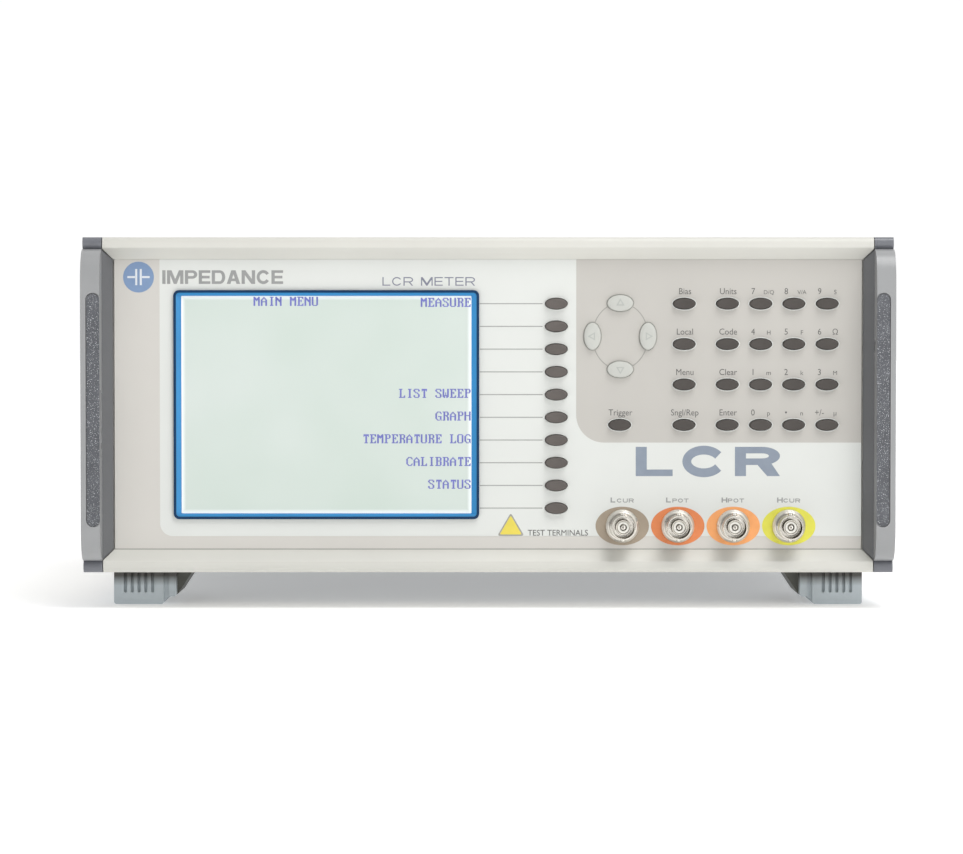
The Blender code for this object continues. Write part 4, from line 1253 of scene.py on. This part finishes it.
def build_boards():
    """Green boards with the larger parts that show through the vents."""
    for node in ("main_board", "keypad_board"):
        paint_node(node, "solder_mask")
    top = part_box("main_board")[1].z
    cans = []
    for x, y, radius, tall in CAPACITORS:
        can = turned(metres((0, tall - 0.4), (radius - 1.2, tall - 0.4), (radius - 0.8, tall),
                            (radius - 0.3, tall), (radius, tall - 0.4), (radius, 1.4),
                            (radius - 0.4, 1.0), (radius, 0.5), (radius, 0.1), (0, 0.1)), 32)
        can.transform(Matrix.Translation((x, y, top)))
        cans.append(can)
    add("board_capacitors", joined(cans), "black_plastic")
    chips = [((x, y, top + 0.1 * MM), (x + wide * MM, y + deep * MM, top + 2.6 * MM))
             for x, y, wide, deep in CHIPS]
    soften(add("board_chips", boxes(chips), "black_plastic"), 0.3 * MM, 2)


# ---------------------------------------------------------------- rear
def build_rear():
    """Everything on the rear panel, and the panel's four screws."""
    build_fan()
    build_inlet()
    build_switch()
    build_connectors()
    for index, (x, z) in enumerate(((-0.1340, 0.1370), (0.1340, 0.1370), (-0.1340, 0.0225),
                                    (0.1340, 0.0225))):
        add_screw(f"rear_screw_{index + 1}", rearward(x, REAR_HIGH.y, z), turn=0.3 + index)


def build_fan():
    """The fan's frame and blades, and a screw near each corner of the frame."""
    refined("fan_frame", "fan_housing", "black_plastic", 0.35 * MM)
    refined("fan_blades", "fan_rotor", "black_plastic", 0.2 * MM, "fan_rotor")
    low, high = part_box("fan_housing")
    for index, (x, z) in enumerate(((low.x, low.z), (low.x, high.z), (high.x, low.z),
                                    (high.x, high.z))):
        inward_x = 4.5 * MM if x == low.x else -4.5 * MM
        inward_z = 4.5 * MM if z == low.z else -4.5 * MM
        add_screw(f"fan_screw_{index + 1}",
                  rearward(x + inward_x, REAR_HIGH.y, z + inward_z), 2.6 * MM,
                  0.3 + 0.8 * index)


def build_inlet():
    """The inlet's body, and three pins in its recess."""
    refined("inlet_body", "power_inlet", "black_plastic", 0.4 * MM)
    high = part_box("power_inlet")[1]
    x, z = centre_of("power_inlet")
    floor_y = high.y - 17.4 * MM
    pins = []
    for pin_x, pin_z in ((0, 1.9), (-7.0, -2.1), (7.0, -2.1)):
        pins.append(((x + (pin_x - 1.0) * MM, floor_y, z + (pin_z - 2.0) * MM),
                     (x + (pin_x + 1.0) * MM, high.y - 3.0 * MM, z + (pin_z + 2.0) * MM)))
    soften(add("inlet_pins", boxes(pins), "screw_steel"), 0.5 * MM, 3)


def build_switch():
    """The rocker, and a frame round it."""
    refined("switch_rocker", "power_switch", "black_plastic", 0.5 * MM, "power_switch", 3)
    x, z = centre_of("power_switch")
    outer = rectangle((x, z), (17.5 * MM, 25.0 * MM), 1.2 * MM)
    inner = rectangle((x, z), (13.4 * MM, 19.4 * MM), 0.6 * MM)
    near = REAR_HIGH.y + 0.05 * MM
    soften(add("switch_frame", front_plate([outer, inner], near, near + 1.6 * MM),
               "black_plastic"), 0.5 * MM, 3)


CONNECTOR_X = -0.0250
# Height of the middle, shell width and height, plate width, contact pitch (mm), rows.
CONNECTORS = ((0.1130, 38, 10.5, 52, 2.4, (12, 12)), (0.0850, 17, 8.5, 31, 2.77, (5, 4)))


def build_connectors():
    """A 24-way and a 9-way connector, and an earth terminal."""
    x = CONNECTOR_X
    back = REAR_HIGH.y
    plates, shells, blocks, pins = [], [], [], []
    for number, (z, wide, tall, tabs, pitch, rows) in enumerate(CONNECTORS, 1):
        plates.append(front_plate([rectangle((x, z), (tabs * MM, (tall + 4) * MM), 1.5 * MM)],
                                  back, back + 0.9 * MM))
        outline = d_outline(x, z, wide * MM, tall * MM, 1.6 * MM)
        inner = d_outline(x, z, (wide - 1.2) * MM, (tall - 1.2) * MM, 1.1 * MM)
        shells.append(front_plate([outline, inner], back + 0.9 * MM, back + 5.6 * MM))
        core = d_outline(x, z, (wide - 1.4) * MM, (tall - 1.4) * MM, 1.0 * MM)
        blocks.append(front_plate([core], back + 0.95 * MM, back + 4.2 * MM))
        for way, count in zip((1, -1), rows):
            for column in range(count):
                pin_x = x + (column - (count - 1) / 2) * pitch * MM
                pins.append(connector_pin(pin_x, back + 4.2 * MM, z + way * 1.45 * MM))
        for side, end in ((-1, 1), (1, 2)):
            place = rearward(x + side * (tabs / 2 - 3.5) * MM, back + 0.9 * MM, z)
            add_screw(f"connector_{number}_screw_{end}", place, 2.0 * MM, 0.5)
    soften(add("connector_plates", joined(plates), "plated_sheet"), 0.2 * MM, 2)
    soften(add("connector_shells", joined(shells), "nickel"), 0.15 * MM, 2)
    soften(add("connector_cores", joined(blocks), "black_plastic"), 0.2 * MM, 2)
    add("connector_pins", joined(pins), "contact_gold")
    build_earth_post(0.0350, 0.0400, back)


def connector_pin(x, y, z):
    """A short round-ended contact that points to the rear."""
    pin = turned(metres((0, 0.9), (0.3, 0.82), (0.5, 0.5), (0.5, -0.5), (0, -0.5)), 14)
    pin.transform(rearward(x, y, z))
    return pin


def d_outline(x, z, wide, tall, radius):
    """A connector's outline, a little narrower along the bottom."""
    lean = tall * 0.18
    corners = ((wide / 2, tall / 2), (-wide / 2, tall / 2),
               (-wide / 2 + lean, -tall / 2), (wide / 2 - lean, -tall / 2))
    points = []
    for index, (dx, dz) in enumerate(corners):
        start = index * math.pi / 2
        centre = (x + dx - math.copysign(radius, dx), z + dz - math.copysign(radius, dz))
        points += arc(centre, radius, start, start + math.pi / 2, 4)
    return points


def build_earth_post(x, z, back):
    """A threaded post with a hexagonal nut and a knurled thumb nut."""
    thread = [(0, 9.0), (1.6, 9.0), (2.0, 8.6)]
    for step in range(12):
        rise = 8.4 - step * 0.7
        thread += [(2.0, rise), (1.7, rise - 0.35)]
    post = turned(metres(*thread, (2.0, -0.5), (0, -0.5)), 32)
    nut = slab([ellipse((0, 0), (8.2 * MM, 8.2 * MM), 6), ellipse((0, 0), (4.1 * MM, 4.1 * MM))],
               2.6 * MM)
    nut.transform(Matrix.Translation((0, 0, 1.35 * MM)))
    knurled = []
    for step in range(72):
        angle = 2 * math.pi * step / 72
        radius = (4.6 if step % 2 else 4.3) * MM
        knurled.append((radius * math.cos(angle), radius * math.sin(angle)))
    thumb = slab([knurled, ellipse((0, 0), (4.1 * MM, 4.1 * MM))], 3.0 * MM)
    thumb.transform(Matrix.Translation((0, 0, 4.6 * MM)))
    place = rearward(x, back, z)
    for name, mesh, skin in (("earth_post", post, "contact_gold"), ("earth_nut", nut, "nickel"),
                             ("earth_thumb_nut", thumb, "flange_nickel")):
        mesh.transform(place)
        soften(add(name, mesh, skin), 0.12 * MM, 2, 50)


# ---------------------------------------------------------------- stage, light and camera
FLOOR_REACH = 8
GLOW_START, GLOW_END = 0.35, 1.6  # distances between which the floor's glow grows
LAMP_SIZE = 1.2
LAMPS = (("key_light", (0.60, -1.10, 1.9), 25), ("fill_light", (0.9, -1.9, 0.45), 6))
CAMERA_X = -0.0026
CAMERA_DISTANCE = 1.4
CAMERA_Z, TARGET_Z = 0.115, 0.0721
FOCAL_LENGTH = 132.6


def build_floor():
    """A pale floor that glows a little, and more so farther away."""
    floor = bpy.data.materials.new("stage_floor")
    floor.use_nodes = True
    tree = floor.node_tree
    inputs = tree.nodes["Principled BSDF"].inputs
    inputs["Base Color"].default_value = (0.9, 0.9, 0.9, 1)
    inputs["Emission Color"].default_value = (1, 1, 1, 1)
    noise = add_node(tree, "TexNoise", None, "Fac", {"Scale": 3.0})
    tree.links.new(map_range(tree, noise, 0.0, 1.0, 0.74, 0.78), inputs["Roughness"])
    place = add_node(tree, "TexCoord", None, "Object")
    distance = add_node(tree, "VectorMath", place, "Value", operation="LENGTH")
    glow = map_range(tree, distance, GLOW_START, GLOW_END, 0.28, 0.5)
    tree.links.new(glow, inputs["Emission Strength"])
    mesh = bpy.data.meshes.new("studio_floor")
    reach = FLOOR_REACH
    mesh.from_pydata([(-reach, -reach, 0), (reach, -reach, 0), (reach, reach, 0),
                      (-reach, reach, 0)], [], [(0, 1, 2, 3)])
    mesh.materials.append(floor)
    ground = linked("studio_floor", mesh)


def build_world():
    """White behind the instrument, and softer light from the side it is seen from."""
    world = bpy.data.worlds.new("studio")
    bpy.context.scene.world = world
    world.use_nodes = True
    tree = world.node_tree
    inputs = tree.nodes["Background"].inputs
    inputs["Color"].default_value = (1.0, 1.0, 1.0, 1)
    place = add_node(tree, "TexCoord", None, "Generated")
    depth = add_node(tree, "SeparateXYZ", place, "Y")
    tree.links.new(map_range(tree, depth, -0.4, 0.3, 0.42, 1.02), inputs["Strength"])


def aimed(name, data, place, target):
    """A lamp or camera at a place, turned towards its target."""
    thing = linked(name, data)
    thing.location = place
    thing.rotation_euler = (target - Vector(place)).to_track_quat("-Z", "Y").to_euler()
    return thing


def build_lamps():
    """Two soft lamps in front of the instrument and above it."""
    middle = Vector((0, PANEL_Y, 0.07))
    for name, place, energy in LAMPS:
        lamp = bpy.data.lights.new(name, "AREA")
        lamp.size = LAMP_SIZE
        lamp.energy = energy
        aimed(name, lamp, place, middle)


def build_camera():
    """A long lens, a little above the front's middle."""
    lens = bpy.data.cameras.new("camera")
    lens.lens = FOCAL_LENGTH
    lens.sensor_width = 36
    bpy.context.scene.camera = aimed(
        "camera", lens, (CAMERA_X, FRAME_LOW.y - CAMERA_DISTANCE, CAMERA_Z),
        Vector((CAMERA_X, FRAME_LOW.y, TARGET_Z)))


SKINS, SLOTS = make_materials()
build_frame()
build_cheeks()
build_panel()
build_rims()
build_screen()
build_keys()
build_arrow_marks()
build_legends()
build_titles()
build_badge()
build_lines()
build_port_labels()
build_caution()
for port in PORTS:
    build_port(port)
build_front_feet()
build_rear_feet()
build_case()
build_floor()
build_world()
build_lamps()
build_camera()
bpy.context.scene.view_settings.view_transform = "Standard"
